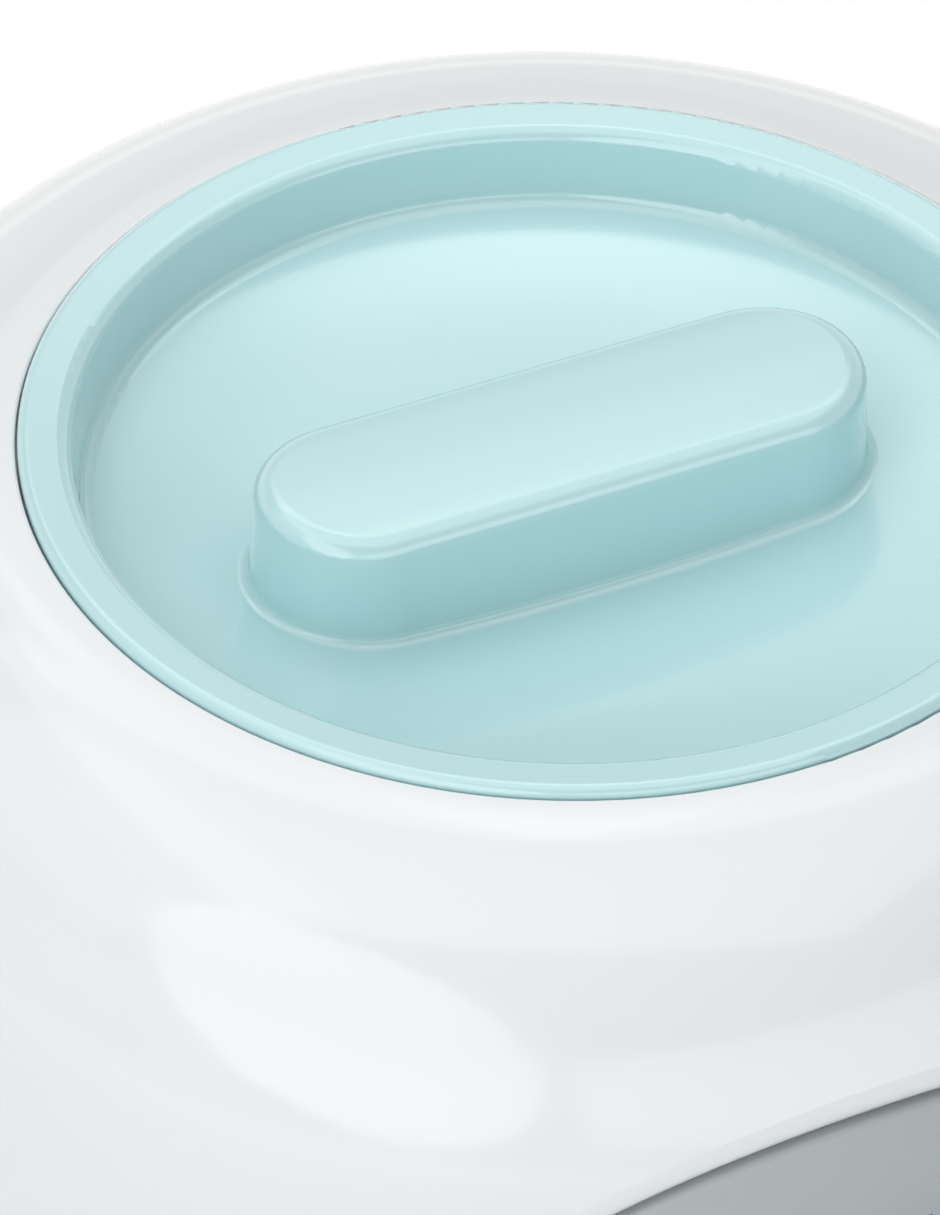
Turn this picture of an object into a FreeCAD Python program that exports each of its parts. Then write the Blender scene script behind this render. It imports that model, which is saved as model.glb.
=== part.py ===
import FreeCAD, Part
import math
import os

# Salon wax warmer with a lift-out pot. Millimetres, +Z up, handle along X, control panel towards -Y.
# The origin is on the pot's axis, on the surface that the feet stand on.

V = FreeCAD.Vector
UP = V(0, 0, 1)
REAR = V(0, 1, 0)
FRONT = V(0, -1, 0)

# Lid
lid_r = 65.0
rim_height = 114.0
rim_thickness = 2.5
rim_width = 6.3
rim_edge_round = 1.2
rim_fold_round = 2.0
rim_dip = 0.7
rim_foot_round = 0.4
plug_root_round = 0.5
dish_depth = 10.2
dish_draft = 1.3
dish_floor_sag = 4.5
dish_floor_round = 2.0
dish_floor_blend = 0.85
lid_wall = 2.2

# Handle bar moulded across the lid's dish
handle_half_spine = 26.9
handle_top_r = 12.4
handle_draft = 0.4
handle_above_rim = 1.8
handle_top_round = 2.8
handle_crown_r = 95.0
handle_base_round = 1.3

# Body
body_r = 102.6
lid_gap = 0.25
seat_edge_round = 0.4
seat_edge_flat = 0.5
seat_below_rim = 1.2
shoulder_drop = 48.3
foot_gap = 5.0
tuck = 14.6
bottom_edge_round = 1.5
wall = 2.6
neck_wall = 2.2
neck_depth = 7.3

# Lift-out pot
pot_wall = 1.2
pot_flange_gap = 0.5
pot_depth = 70.0
pot_floor_round = 9.0
pot_lip_round = 0.8
sheet_edge_round = 0.3
pot_taper = 2.2
plug_gap = 0.6
pot_side_gap = 0.5

# Heater well and what hangs on it
well_wall = 1.2
well_floor_gap = 0.8
well_flange_r = 76.5
well_screw_ring_r = 71.8
well_boss_r = 3.6
well_lip_round = 0.5
well_screw_reach = 4.4
well_screw_spare = 0.7
seal_thickness = 1.2
sleeve_gap = 0.3
sleeve_thickness = 4.3
sleeve_margin = 6.0
sleeve_open_angle = 80.0
heater_r = 50.0
heater_thickness = 3.0
heater_stud_x = 10.0
heater_stud_y = 44.5
heater_stud_r = 2.0
heater_stud_drop = 5.0
pressure_plate_r = 42.0
pressure_plate_thickness = 1.5
stud_r = 3.0
stud_length = 15.0
nut_across = 10.0
nut_height = 5.0
tag_thickness = 0.8
tag_tail = 12.0
tag_width = 5.0
tag_eye_r = 6.0
tag_lead_y = 12.0

# Control panel in the front of the body
panel_half_width = 53.0
panel_half_height = 30.5
panel_below_rim = 58.5
panel_recess = 2.1
panel_thickness = 2.5
panel_edge_round = 0.9
panel_gap = 0.08
opening_roll = 3.8
roll_margin = 0.2
opening_depth = 10.0
lug_x = 48.0
lug_r = 4.6
lug_thickness = 2.6
lug_counterbore = 0.9
lug_face_gap = 0.05
panel_post_r = 3.0
lens_x = 32.0
lens_r = 3.0
lens_flange_r = 4.2
lens_flange = 1.4
lens_boss_r = 5.4
lens_boss_depth = 5.6
lens_proud = 0.7
lens_dome_round = 1.2
lens_pocket_r = 1.8
lens_window = 1.8
lamp_half = 4.5
lamp_tip_round = 0.9

# Temperature knob and thermostat
knob_r = 14.0
knob_taper = 1.2
knob_stand_out = 8.5
knob_edge_round = 1.6
knob_wall = 2.0
knob_hub_r = 5.6
knob_hub_gap = 0.6
knob_skirt = 2.0
knob_flutes = 18
knob_flute_r = 1.7
knob_flute_bite = 0.7
knob_floor_gap = 0.6
knob_side_gap = 0.7
knob_recess_depth = 3.0
pointer_width = 1.8
pointer_share = 0.62
pointer_angle = -135.0
pointer_depth = 0.6
spindle_r = 3.0
spindle_flat = 1.6
spindle_fit = 0.03
spindle_depth = 5.4
bush_bore_play = 0.05
socket_floor = 1.0
socket_lead = 0.1
bush_r = 5.0
bush_stand_out = 2.0
thermostat_width = 30.0
thermostat_height = 30.0
thermostat_depth = 18.0
thermostat_round = 3.0
thermostat_screw_x = 7.6
thermostat_screw_reach = 6.0
terminal_x = 10.0
terminal_depth = 15.0
terminal_length = 6.0
terminal_r = 1.6

# Sensor bulb, thermal fuse and their clips on the heater well
bulb_r = 3.2
bulb_length = 40.0
bulb_angle = -25.0
bulb_end_round = 1.9
fuse_r = 2.3
fuse_length = 14.0
fuse_angle = 25.0
fuse_end_round = 0.9
fuse_leg_r = 0.8
fuse_leg = 6.0
clip_thickness = 0.8
clip_width = 10.0
clip_wing = 7.0
clip_play = 0.15
clip_lift = 0.05
capillary_r = 0.9
capillary_rise = 6.0
capillary_bend = 4.8

# Base
base_thickness = 2.5
base_gap = 0.3
base_boss_r = 5.5
base_boss_rise = 2.5
base_screw_margin = 11.0
post_r = 4.0
post_top = 34.0
post_rib = 2.4
post_cap = 4.0
foot_r = 8.0
foot_margin = 26.0
foot_stem_r = 2.6
foot_head_r = 3.6
foot_tip_r = 1.6
foot_stem_rise = 3.0
foot_round = 1.2
foot_socket = 1.0
vent_count = 16
vent_width = 3.0
vent_inner_r = 20.0
vent_outer_r = 44.0

# Cord gland in the rear
gland_height = 20.0
gland_bore_r = 3.6
gland_neck_r = 6.2
gland_flange_r = 9.5
gland_flange = 2.5
gland_nose_length = 10.0
gland_root_r = 7.6
gland_nose_r = 6.0
gland_edge_round = 1.0
gland_nut_across = 17.0
gland_nut_height = 4.0
gland_boss_r = 11.5
gland_boss_proud = 3.4
gland_boss_depth = 12.0

# Terminal block and leads
block_width = 34.0
block_length = 16.0
block_height = 13.0
block_round = 1.5
block_notch = 1.6
block_margin = 22.0
pole_pitch = 10.0
pole_rise = 4.7
pole_count = 3
pole_hole_r = 1.5
pole_screw_r = 2.2
pole_screw_depth = 4.0
pole_screw_length = 2.4
pole_slot_width = 0.7
pole_slot_depth = 0.7
lead_r = 1.1
lamp_lead_r = 0.8
lead_height = 14.0
lead_bend = 6.0
neutral_bend = 3.0
lead_in_pole = 4.0
live_turn_back = 22.0
live_run_x = 26.0
live_run_back = 46.0
live_far_share = 0.56
switched_height = 22.0
switched_bend = 3.6
fuse_lead_rise = 9.0
fuse_lead_bend = 4.8
lamp_lead_reach = 5.0
lamp_lead_bend = 3.6

# Screws
screw_r = 1.5
screw_head_r = 2.8
screw_head = 2.0
small_screw_r = 1.2
small_screw_head_r = 2.2
small_screw_head = 1.6
thread_play = 0.05
hole_play = 0.2
screw_spare = 2.0
tip_gap = 0.3
head_round_share = 0.4
cross_length_share = 1.2
cross_width_share = 0.35

# How far a cut or a root runs past a face, and how near counts as on it
overrun = 1.0
touch = 1e-4
near = 0.01

# Heights and radii worked out from the sizes above
fold_r = lid_r - rim_width
floor_r = fold_r - dish_draft
floor_z = rim_height - dish_depth
floor_low_z = floor_z - dish_floor_sag
handle_top_z = rim_height + handle_above_rim
seat_r = lid_r + lid_gap
shoulder_r = seat_r + seat_edge_round + seat_edge_flat
shoulder_z = rim_height - seat_below_rim
belt_z = shoulder_z - shoulder_drop
belt_drop = belt_z - foot_gap
bottom_r = body_r - tuck
base_screw_ring_r = bottom_r - base_screw_margin
foot_ring_r = bottom_r - foot_margin
block_y = bottom_r - block_margin
lower_arc_r = (belt_drop ** 2 + tuck ** 2) / (2 * tuck)
pot_top_z = rim_height - rim_thickness
ledge_z = pot_top_z - pot_wall
mouth_r = fold_r + lid_wall + plug_gap
pot_r = mouth_r + pot_wall
well_r = pot_r + pot_side_gap
well_out_r = well_r + well_wall
neck_z = ledge_z - neck_depth
flange_top_z = neck_z - seal_thickness
flange_low_z = flange_top_z - well_wall
pot_low_z = pot_top_z - pot_depth
well_floor_z = pot_low_z - well_floor_gap
well_low_z = well_floor_z - well_wall
heater_low_z = well_low_z - heater_thickness
pressure_low_z = heater_low_z - pressure_plate_thickness
tag_low_z = pressure_low_z - tag_thickness
panel_z = rim_height - panel_below_rim
base_top_z = foot_gap + base_thickness
lead_fuse_r = well_out_r + fuse_r + clip_play
bulb_ring_r = well_out_r + bulb_r + clip_play


def form_radius(z, inset=0.0):
    """Radius of the body's outer form, set in by inset, at a height."""
    if z >= belt_z:
        rise = (z - belt_z) / (shoulder_drop - inset)
        return shoulder_r + (body_r - inset - shoulder_r) * math.sqrt(max(0.0, 1.0 - rise * rise))
    radius = lower_arc_r - inset
    return body_r - lower_arc_r + math.sqrt(radius ** 2 - (belt_z - z) ** 2)


base_r = form_radius(foot_gap, wall) - base_gap
gland_boss_face = form_radius(gland_height) + gland_boss_proud
gland_boss_back = gland_boss_face - gland_boss_depth
recess_floor_y = -form_radius(panel_z, panel_recess) + knob_recess_depth
panel_back_y = recess_floor_y + panel_thickness
terminal_y = panel_back_y + terminal_depth
thermostat_low_z = panel_z - thermostat_height / 2
thermostat_top_z = panel_z + thermostat_height / 2
knob_front_y = -body_r - knob_stand_out
knob_back_y = recess_floor_y - knob_floor_gap


def around(count, ring_r, start_deg=0.0):
    """Evenly spaced points on a circle about the pot's axis."""
    step = 360.0 / count
    angles = [math.radians(start_deg + step * i) for i in range(count)]
    return [V(ring_r * math.cos(a), ring_r * math.sin(a), 0) for a in angles]


def from_front(angle_deg, ring_r, z):
    """A point at an angle from the front of the warmer, positive towards +X."""
    a = math.radians(angle_deg)
    return V(ring_r * math.sin(a), -ring_r * math.cos(a), z)


def rod(radius, start, end):
    """A round rod between two points."""
    return Part.makeCylinder(radius, (end - start).Length, start, end - start)


def ring(inner_r, outer_r, low_z, high_z):
    """A flat ring about the pot's axis."""
    outer = Part.makeCylinder(outer_r, high_z - low_z, V(0, 0, low_z))
    return outer.cut(Part.makeCylinder(inner_r, high_z - low_z, V(0, 0, low_z)))


def block(size, centre):
    """A box by its size and centre."""
    return Part.makeBox(size.x, size.y, size.z, centre - size * 0.5)


def corner_arc(before, corner, after, radius):
    """The tangent arc that rounds one corner of an outline, with its two ends."""
    to_before = (before - corner).normalize()
    to_after = (after - corner).normalize()
    half = to_before.getAngle(to_after) / 2
    reach = radius / math.tan(half)
    bisector = (to_before + to_after).normalize()
    start = corner + to_before * reach
    end = corner + to_after * reach
    middle = corner + bisector * (radius / math.sin(half) - radius)
    return start, middle, end


def rounded_path(points, radii, closed):
    """Edges of a path through points, with a tangent arc at each corner that has a radius."""
    count = len(points)
    edges = []
    joints = []
    for i, (point, radius) in enumerate(zip(points, radii)):
        inner = closed or 0 < i < count - 1
        if inner and radius > 0:
            joints.append(corner_arc(points[i - 1], point, points[(i + 1) % count], radius))
        else:
            joints.append((point, None, point))
    for i, (start, middle, end) in enumerate(joints):
        if middle is not None:
            edges.append(Part.Arc(start, middle, end).toShape())
        if closed or i < count - 1:
            after = joints[(i + 1) % count][0]
            if (after - end).Length > 1e-6:
                edges.append(Part.LineSegment(end, after).toShape())
    return edges


def turned(outline):
    """A solid turned about the pot's axis from (radius, height, corner radius) points."""
    points = [V(r, 0, z) for r, z, _ in outline]
    edges = rounded_path(points, [radius for _, _, radius in outline], True)
    return Part.Face(Part.Wire(edges)).revolve(V(0, 0, 0), UP, 360)


def tube(points, radius, bend):
    """A round lead along straight runs joined by tangent arcs, with its length checked."""
    path = Part.Wire(rounded_path(points, [bend] * len(points), False))
    section = Part.Wire(Part.Circle(points[0], points[1] - points[0], radius).toShape())
    lead = path.makePipeShell([section], True, False)
    expected = math.pi * radius ** 2 * path.Length
    print("lead length %.1f mm, volume ratio %.4f" % (path.Length, lead.Volume / expected))
    return lead


def edges_where(shape, test):
    """The edges whose every sampled point passes a test."""
    return [edge for edge in shape.Edges if all(test(p) for p in edge.discretize(9))]


def round_edges(shape, radius, test):
    """The shape with the edges that pass a test rounded."""
    return shape.makeFillet(radius, edges_where(shape, test))


def one(*shapes):
    """The shapes fused into one piece, with faces that run on merged."""
    return shapes[0].multiFuse(list(shapes[1:])).removeSplitter()


def quarter_ellipse(top, corner, side):
    """An exact quarter of an ellipse, from its top to its side."""
    curve = Part.BezierCurve()
    curve.setPoles([top, corner, side])
    curve.setWeight(2, math.sqrt(0.5))
    return curve.toShape()


def body_form(inset, low_z):
    """The body's outer form set in by inset, solid to the axis and cut off flat at low_z."""
    side = body_r - inset
    top = shoulder_z - inset
    arc_x = body_r - lower_arc_r
    arc_r = lower_arc_r - inset
    sweep = math.asin((belt_z - low_z) / arc_r)
    middle = V(arc_x + arc_r * math.cos(sweep / 2), 0, belt_z - arc_r * math.sin(sweep / 2))
    end = V(arc_x + arc_r * math.cos(sweep), 0, low_z)
    start = V(side, 0, belt_z)
    edges = [
        Part.LineSegment(V(0, 0, top), V(shoulder_r, 0, top)).toShape(),
        quarter_ellipse(V(shoulder_r, 0, top), V(side, 0, top), start),
        Part.Arc(start, middle, end).toShape(),
        Part.LineSegment(end, V(0, 0, low_z)).toShape(),
        Part.LineSegment(V(0, 0, low_z), V(0, 0, top)).toShape(),
    ]
    return Part.Face(Part.Wire(edges)).revolve(V(0, 0, 0), UP, 360)


def oval_prism(grow):
    """An oval bar along Y through the front of the body, larger than the panel by grow."""
    half_w = panel_half_width + grow
    half_h = panel_half_height + grow
    oval = Part.Ellipse(V(0, 0, 0), max(half_w, half_h), min(half_w, half_h)).toShape()
    if half_h > half_w:
        oval.rotate(V(0, 0, 0), UP, 90)
    oval.rotate(V(0, 0, 0), V(1, 0, 0), 90)
    oval.translate(V(0, 0, panel_z))
    return Part.Face(Part.Wire(oval)).extrude(FRONT * (body_r + 1))


def on_oval(point, grow):
    """Whether a point lies on the side of the oval bar."""
    across = point.x / (panel_half_width + grow)
    up = (point.z - panel_z) / (panel_half_height + grow)
    return abs(math.hypot(across, up) - 1) < 2e-3


def on_form(point, inset):
    """Whether a point lies on the body's outer form set in by inset."""
    return abs(math.hypot(point.x, point.y) - form_radius(point.z, inset)) < 0.5


def skin(outer, inner):
    """A layer of the body's front wall between two depths below its surface."""
    return body_form(outer, foot_gap + outer).cut(body_form(inner, foot_gap + outer))


def screw(tip, head_seat, radius, head_r, head):
    """A pan-head screw from its tip to the seat of its head, with a cross slot."""
    out = (head_seat - tip).normalize()
    shank = rod(radius, tip, head_seat)
    cap = Part.makeCylinder(head_r, head, head_seat, out)
    rim_z = head_seat + out * head
    cap = round_edges(cap, head * head_round_share, lambda p: abs((p - rim_z).dot(out)) < touch)
    side = V(0, 0, 1) if abs(out.z) < 0.5 else V(1, 0, 0)
    slot_size = [head_r * cross_length_share, head_r * cross_width_share]
    for length, width in (slot_size, slot_size[::-1]):
        cross = out.cross(side)
        size = V(
            abs(side.x) * length + abs(cross.x) * width + abs(out.x) * head,
            abs(side.y) * length + abs(cross.y) * width + abs(out.y) * head,
            abs(side.z) * length + abs(cross.z) * width + abs(out.z) * head,
        )
        cap = cap.cut(block(size, rim_z))
    return shank.fuse(cap).removeSplitter()


def hex_nut(centre, axis, across, height, hole_r):
    """A hexagon nut whose lower face is centred on a point."""
    side = V(1, 0, 0) if abs(axis.x) < 0.5 else V(0, 0, 1)
    up = axis.cross(side)
    reach = across / math.sqrt(3)
    corners = []
    for i in range(7):
        a = math.radians(60 * i)
        corners.append(centre + side * (reach * math.cos(a)) + up * (reach * math.sin(a)))
    prism = Part.Face(Part.makePolygon(corners)).extrude(axis * height)
    return prism.cut(Part.makeCylinder(hole_r, height, centre, axis))


def stadium(radius, z):
    """A closed outline round the handle's spine."""
    end = handle_half_spine
    edges = [
        Part.LineSegment(V(-end, -radius, z), V(end, -radius, z)).toShape(),
        Part.Arc(V(end, -radius, z), V(end + radius, 0, z), V(end, radius, z)).toShape(),
        Part.LineSegment(V(end, radius, z), V(-end, radius, z)).toShape(),
        Part.Arc(V(-end, radius, z), V(-end - radius, 0, z), V(-end, -radius, z)).toShape(),
    ]
    return Part.Wire(edges)


def handle_form(inset, low_z):
    """The drafted handle bar set in by inset, from low_z to its crowned top."""
    slope = handle_draft / (handle_top_z - floor_z)
    high_z = handle_top_z + overrun
    low_r = handle_top_r + slope * (handle_top_z - low_z) - inset
    high_r = handle_top_r + slope * (handle_top_z - high_z) - inset
    bar = Part.makeLoft([stadium(low_r, low_z), stadium(high_r, high_z)], True, True)
    crown_r = handle_crown_r - inset
    length = 2 * (handle_half_spine + low_r + overrun)
    axis_z = handle_top_z - handle_crown_r
    crown = Part.makeCylinder(crown_r, length, V(-length / 2, 0, axis_z), V(1, 0, 0))
    return bar.common(crown)


def make_lid():
    """The lid: a flat rim, a sunk dish and a hollow handle bar across it."""
    half_floor = floor_r / 2
    sag_angle = math.atan(dish_floor_sag / half_floor)
    sag_round = dish_floor_blend * half_floor / math.tan(sag_angle / 2)
    plug_low = floor_z - lid_wall
    shell = turned([
        (lid_r, pot_top_z, rim_foot_round),
        (lid_r, rim_height, rim_edge_round),
        (fold_r, rim_height - rim_dip, rim_fold_round),
        (floor_r, floor_z, dish_floor_round),
        (half_floor, floor_low_z, sag_round),
        (0, floor_low_z, 0),
        (0, floor_low_z - lid_wall, 0),
        (half_floor, floor_low_z - lid_wall, sag_round),
        (floor_r + lid_wall, plug_low, dish_floor_round + lid_wall),
        (fold_r + lid_wall, pot_top_z, plug_root_round),
    ])
    bar = handle_form(0.0, floor_low_z - lid_wall / 2)
    bar = round_edges(bar, handle_top_round, lambda p: p.z > rim_height)
    lid = one(shell, bar)
    slope = handle_draft / (handle_top_z - floor_z)

    def at_foot(p):
        past_end = max(0.0, abs(p.x) - handle_half_spine)
        radius = handle_top_r + slope * (handle_top_z - p.z)
        near_side = abs(math.hypot(past_end, p.y) - radius) < 0.05
        return near_side and floor_low_z - 0.01 < p.z < floor_z

    lid = round_edges(lid, handle_base_round, at_foot)
    hollow = handle_form(lid_wall, floor_low_z - 2 * lid_wall)
    return lid.cut(hollow)


def make_pot():
    """The drawn aluminium pot that hangs by its flange."""
    flange_r = seat_r - pot_flange_gap
    low_r = mouth_r - pot_taper
    return turned([
        (flange_r, ledge_z, sheet_edge_round),
        (flange_r, pot_top_z, sheet_edge_round),
        (mouth_r, pot_top_z, pot_lip_round),
        (low_r, pot_low_z + pot_wall, pot_floor_round),
        (0, pot_low_z + pot_wall, 0),
        (0, pot_low_z, 0),
        (low_r + pot_wall, pot_low_z, pot_floor_round + pot_wall),
        (pot_r, ledge_z, sheet_edge_round),
    ])


def make_well():
    """The heater well: a flanged bucket with a stud under its floor."""
    bucket = turned([
        (well_flange_r, flange_low_z, sheet_edge_round),
        (well_flange_r, flange_top_z, sheet_edge_round),
        (well_r, flange_top_z, well_lip_round),
        (well_r, well_floor_z, pot_floor_round),
        (0, well_floor_z, 0),
        (0, well_low_z, 0),
        (well_out_r, well_low_z, pot_floor_round + well_wall),
        (well_out_r, flange_low_z, well_lip_round),
    ])
    stud = rod(stud_r, V(0, 0, well_low_z - stud_length), V(0, 0, well_low_z + well_wall / 2))
    holes = [rod(screw_r + hole_play, p + UP * (flange_low_z - overrun),
             p + UP * (flange_top_z + overrun))
             for p in around(4, well_screw_ring_r, 45)]
    return one(bucket, stud).cut(Part.makeCompound(holes))


def make_seal():
    """The silicone ring between the heater well's flange and the body's neck."""
    return ring(well_r + hole_play, seat_r + neck_wall, flange_top_z, neck_z)


def make_well_screws():
    """Four screws that hold the heater well up under the body."""
    tips = around(4, well_screw_ring_r, 45)
    tip_z = neck_z + well_screw_reach
    return [screw(p + UP * tip_z, p + UP * flange_low_z, screw_r, screw_head_r, screw_head)
            for p in tips]


def make_housing():
    """The one-piece white body: shoulder, lid seat, neck, panel opening, posts and gland boss."""
    shell = body_form(0.0, foot_gap).cut(body_form(wall, foot_gap))
    neck = ring(well_r, seat_r + neck_wall, neck_z, shoulder_z - wall / 2)
    solid_form = body_form(wall / 2, foot_gap)
    bosses = [rod(well_boss_r, p + UP * flange_top_z, p + UP * shoulder_z).common(solid_form)
              for p in around(4, well_screw_ring_r, 45)]
    posts = []
    for p in around(4, base_screw_ring_r, 45):
        outward = V(p.x, p.y, 0).normalize()
        low_z = base_top_z + base_boss_rise
        post = rod(post_r, p + UP * low_z, p + UP * post_top)
        rib = block(V(body_r - base_screw_ring_r, post_rib, post_top - low_z),
                    V((body_r + base_screw_ring_r) / 2, 0, (post_top + low_z) / 2))
        rib.rotate(V(0, 0, 0), UP, math.degrees(math.atan2(outward.y, outward.x)))
        posts.append(post.fuse(rib).common(solid_form))
    collar = skin(0.0, opening_depth).common(oval_prism(panel_gap + opening_roll))
    gland_boss = rod(gland_boss_r, V(0, gland_boss_back, gland_height),
                     V(0, gland_boss_face, gland_height))
    body = shell.multiFuse([neck, collar, gland_boss] + bosses + posts)
    body = body.cut(oval_prism(panel_gap))
    body = body.cut(rod(seat_r, V(0, 0, ledge_z), V(0, 0, rim_height)))
    body = body.cut(rod(well_r, V(0, 0, neck_z - overrun), V(0, 0, rim_height)))
    body = body.cut(rod(gland_neck_r + hole_play, V(0, gland_boss_back - overrun, gland_height),
                        V(0, gland_boss_face + overrun, gland_height)))
    lugs = []
    lug_back = opening_depth - lug_thickness
    for side in (-1, 1):
        pad = rod(lug_r, V(side * lug_x, 0, panel_z), V(side * lug_x, -body_r, panel_z))
        reach = panel_half_width + panel_gap + overrun - lug_x
        root = block(V(reach, body_r, 2 * lug_r),
                     V(side * (lug_x + reach / 2), -body_r / 2, panel_z))
        lugs.append(pad.fuse(root).common(skin(lug_back, opening_depth)))
    body = body.multiFuse(lugs).removeSplitter()
    for side in (-1, 1):
        seat = panel_screw_seat()
        body = body.cut(rod(small_screw_r + hole_play, V(side * lug_x, 0, panel_z),
                            V(side * lug_x, -body_r, panel_z)))
        body = body.cut(rod(small_screw_head_r + hole_play, V(side * lug_x, seat + opening_depth, panel_z),
                            V(side * lug_x, seat, panel_z)))
    for p in around(4, well_screw_ring_r, 45):
        body = body.cut(rod(screw_r + thread_play, p + UP * flange_top_z,
                            p + UP * (neck_z + well_screw_reach + well_screw_spare)))
    for p in around(4, base_screw_ring_r, 45):
        body = body.cut(rod(screw_r + thread_play, p + UP * base_top_z, p + UP * (post_top - post_cap)))
    body = round_edges(body, opening_roll - roll_margin,
                       lambda p: p.y < 0 and on_oval(p, panel_gap) and on_form(p, 0.0))
    body = round_edges(body, seat_edge_round,
                       lambda p: abs(p.z - shoulder_z) < near and math.hypot(p.x, p.y) < shoulder_r)
    return round_edges(body, bottom_edge_round,
                       lambda p: abs(p.z - foot_gap) < near and math.hypot(p.x, p.y) > base_r + wall / 2)


def panel_screw_seat():
    """How far back the flat seat of a panel screw's head lies."""
    radius = form_radius(panel_z, opening_depth)
    return -math.sqrt(radius ** 2 - lug_x ** 2) - lug_counterbore


def make_panel():
    """The curved grey panel with its knob recess, lens bosses and screw posts."""
    plate = skin(panel_recess, panel_recess + panel_thickness).common(oval_prism(0.0))
    plate = round_edges(plate, panel_edge_round,
                        lambda p: on_oval(p, 0.0) and on_form(p, panel_recess))
    inside = body_form(panel_recess + panel_thickness / 2, foot_gap + panel_recess)
    cup_r = knob_r + knob_side_gap
    cup = rod(cup_r + panel_thickness, V(0, panel_back_y, panel_z), V(0, -body_r, panel_z))
    adds = [cup.common(inside)]
    cuts = [
        rod(cup_r, V(0, recess_floor_y, panel_z), V(0, -body_r, panel_z)),
        rod(bush_r + hole_play, V(0, panel_back_y + overrun, panel_z),
            V(0, -body_r, panel_z)),
    ]
    lug_face = body_form(opening_depth - lug_thickness - lug_face_gap, foot_gap)
    for side in (-1, 1):
        boss_back = lens_seat_y()
        boss = rod(lens_boss_r, V(side * lens_x, boss_back, panel_z),
                   V(side * lens_x, -body_r, panel_z))
        post = rod(panel_post_r, V(side * lug_x, 0, panel_z), V(side * lug_x, -body_r, panel_z))
        adds += [boss.common(inside), post.common(inside).cut(lug_face)]
        cuts.append(rod(lens_r + hole_play, V(side * lens_x, 0, panel_z),
                        V(side * lens_x, -body_r, panel_z)))
        cuts.append(rod(small_screw_r + thread_play, V(side * lug_x, 0, panel_z),
                        V(side * lug_x, panel_screw_tip() - tip_gap, panel_z)))
        cuts.append(rod(small_screw_r + hole_play, V(side * thermostat_screw_x, 0, panel_z),
                        V(side * thermostat_screw_x, -body_r, panel_z)))
    panel = plate.multiFuse(adds)
    return panel.cut(Part.makeCompound(cuts)).removeSplitter()


def panel_screw_tip():
    """How far forward a panel screw reaches into the panel's post."""
    radius = form_radius(panel_z, panel_recess + panel_thickness)
    return -math.sqrt(radius ** 2 - lug_x ** 2)


def make_panel_screws():
    """Two screws from inside that pull the panel against the body's lugs."""
    return [screw(V(side * lug_x, panel_screw_tip(), panel_z),
                  V(side * lug_x, panel_screw_seat(), panel_z),
                  small_screw_r, small_screw_head_r, small_screw_head) for side in (-1, 1)]


def lens_seat_y():
    """How far back the flat seat of a lens flange lies behind the panel."""
    radius = form_radius(panel_z, panel_recess)
    return -math.sqrt(radius ** 2 - lens_x ** 2) + lens_boss_depth


def make_lens(side):
    """A domed indicator lens with a flange behind the panel and a pocket for its lamp."""
    seat = lens_seat_y()
    front = seat - lens_boss_depth - lens_proud
    stem = rod(lens_r, V(side * lens_x, seat, panel_z), V(side * lens_x, front, panel_z))
    stem = round_edges(stem, lens_dome_round, lambda p: abs(p.y - front) < touch)
    flange = rod(lens_flange_r, V(side * lens_x, seat + lens_flange, panel_z),
                 V(side * lens_x, seat, panel_z))
    pocket = rod(lens_pocket_r, V(side * lens_x, seat + lens_flange, panel_z),
                 V(side * lens_x, front + lens_window, panel_z))
    return one(stem, flange).cut(pocket)


def lamp_back_y():
    """Where the rear end of an indicator lamp lies."""
    return lens_seat_y() + lens_flange + lamp_half


def make_lamps():
    """Two small lamps, each held by the pocket of its lens, with a holder behind."""
    lamps = []
    for side in (-1, 1):
        seat = lens_seat_y() + lens_flange
        tip_y = seat - lamp_half
        bulb = rod(lens_pocket_r - hole_play, V(side * lens_x, seat, panel_z),
                   V(side * lens_x, tip_y, panel_z))
        bulb = round_edges(bulb, lamp_tip_round, lambda p: abs(p.y - tip_y) < touch)
        holder = rod(lens_flange_r, V(side * lens_x, seat, panel_z),
                     V(side * lens_x, lamp_back_y(), panel_z))
        lamps.append(one(bulb, holder))
    return lamps


def d_rod(radius, flat, start_y, flat_y, end_y):
    """A round bar along the knob's axis with a flat along its outer end."""
    bar = rod(radius, V(0, start_y, panel_z), V(0, end_y, panel_z))
    low = V(-radius, min(end_y, flat_y), panel_z + flat)
    return bar.cut(Part.makeBox(2 * radius, abs(end_y - flat_y), radius, low))


def make_spindle():
    """The thermostat's spindle with the flat that drives the knob."""
    start = panel_back_y + spindle_depth
    flat_from = recess_floor_y - bush_stand_out - tip_gap
    return d_rod(spindle_r, spindle_flat, start, flat_from, knob_front_y + knob_wall + socket_floor)


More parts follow.
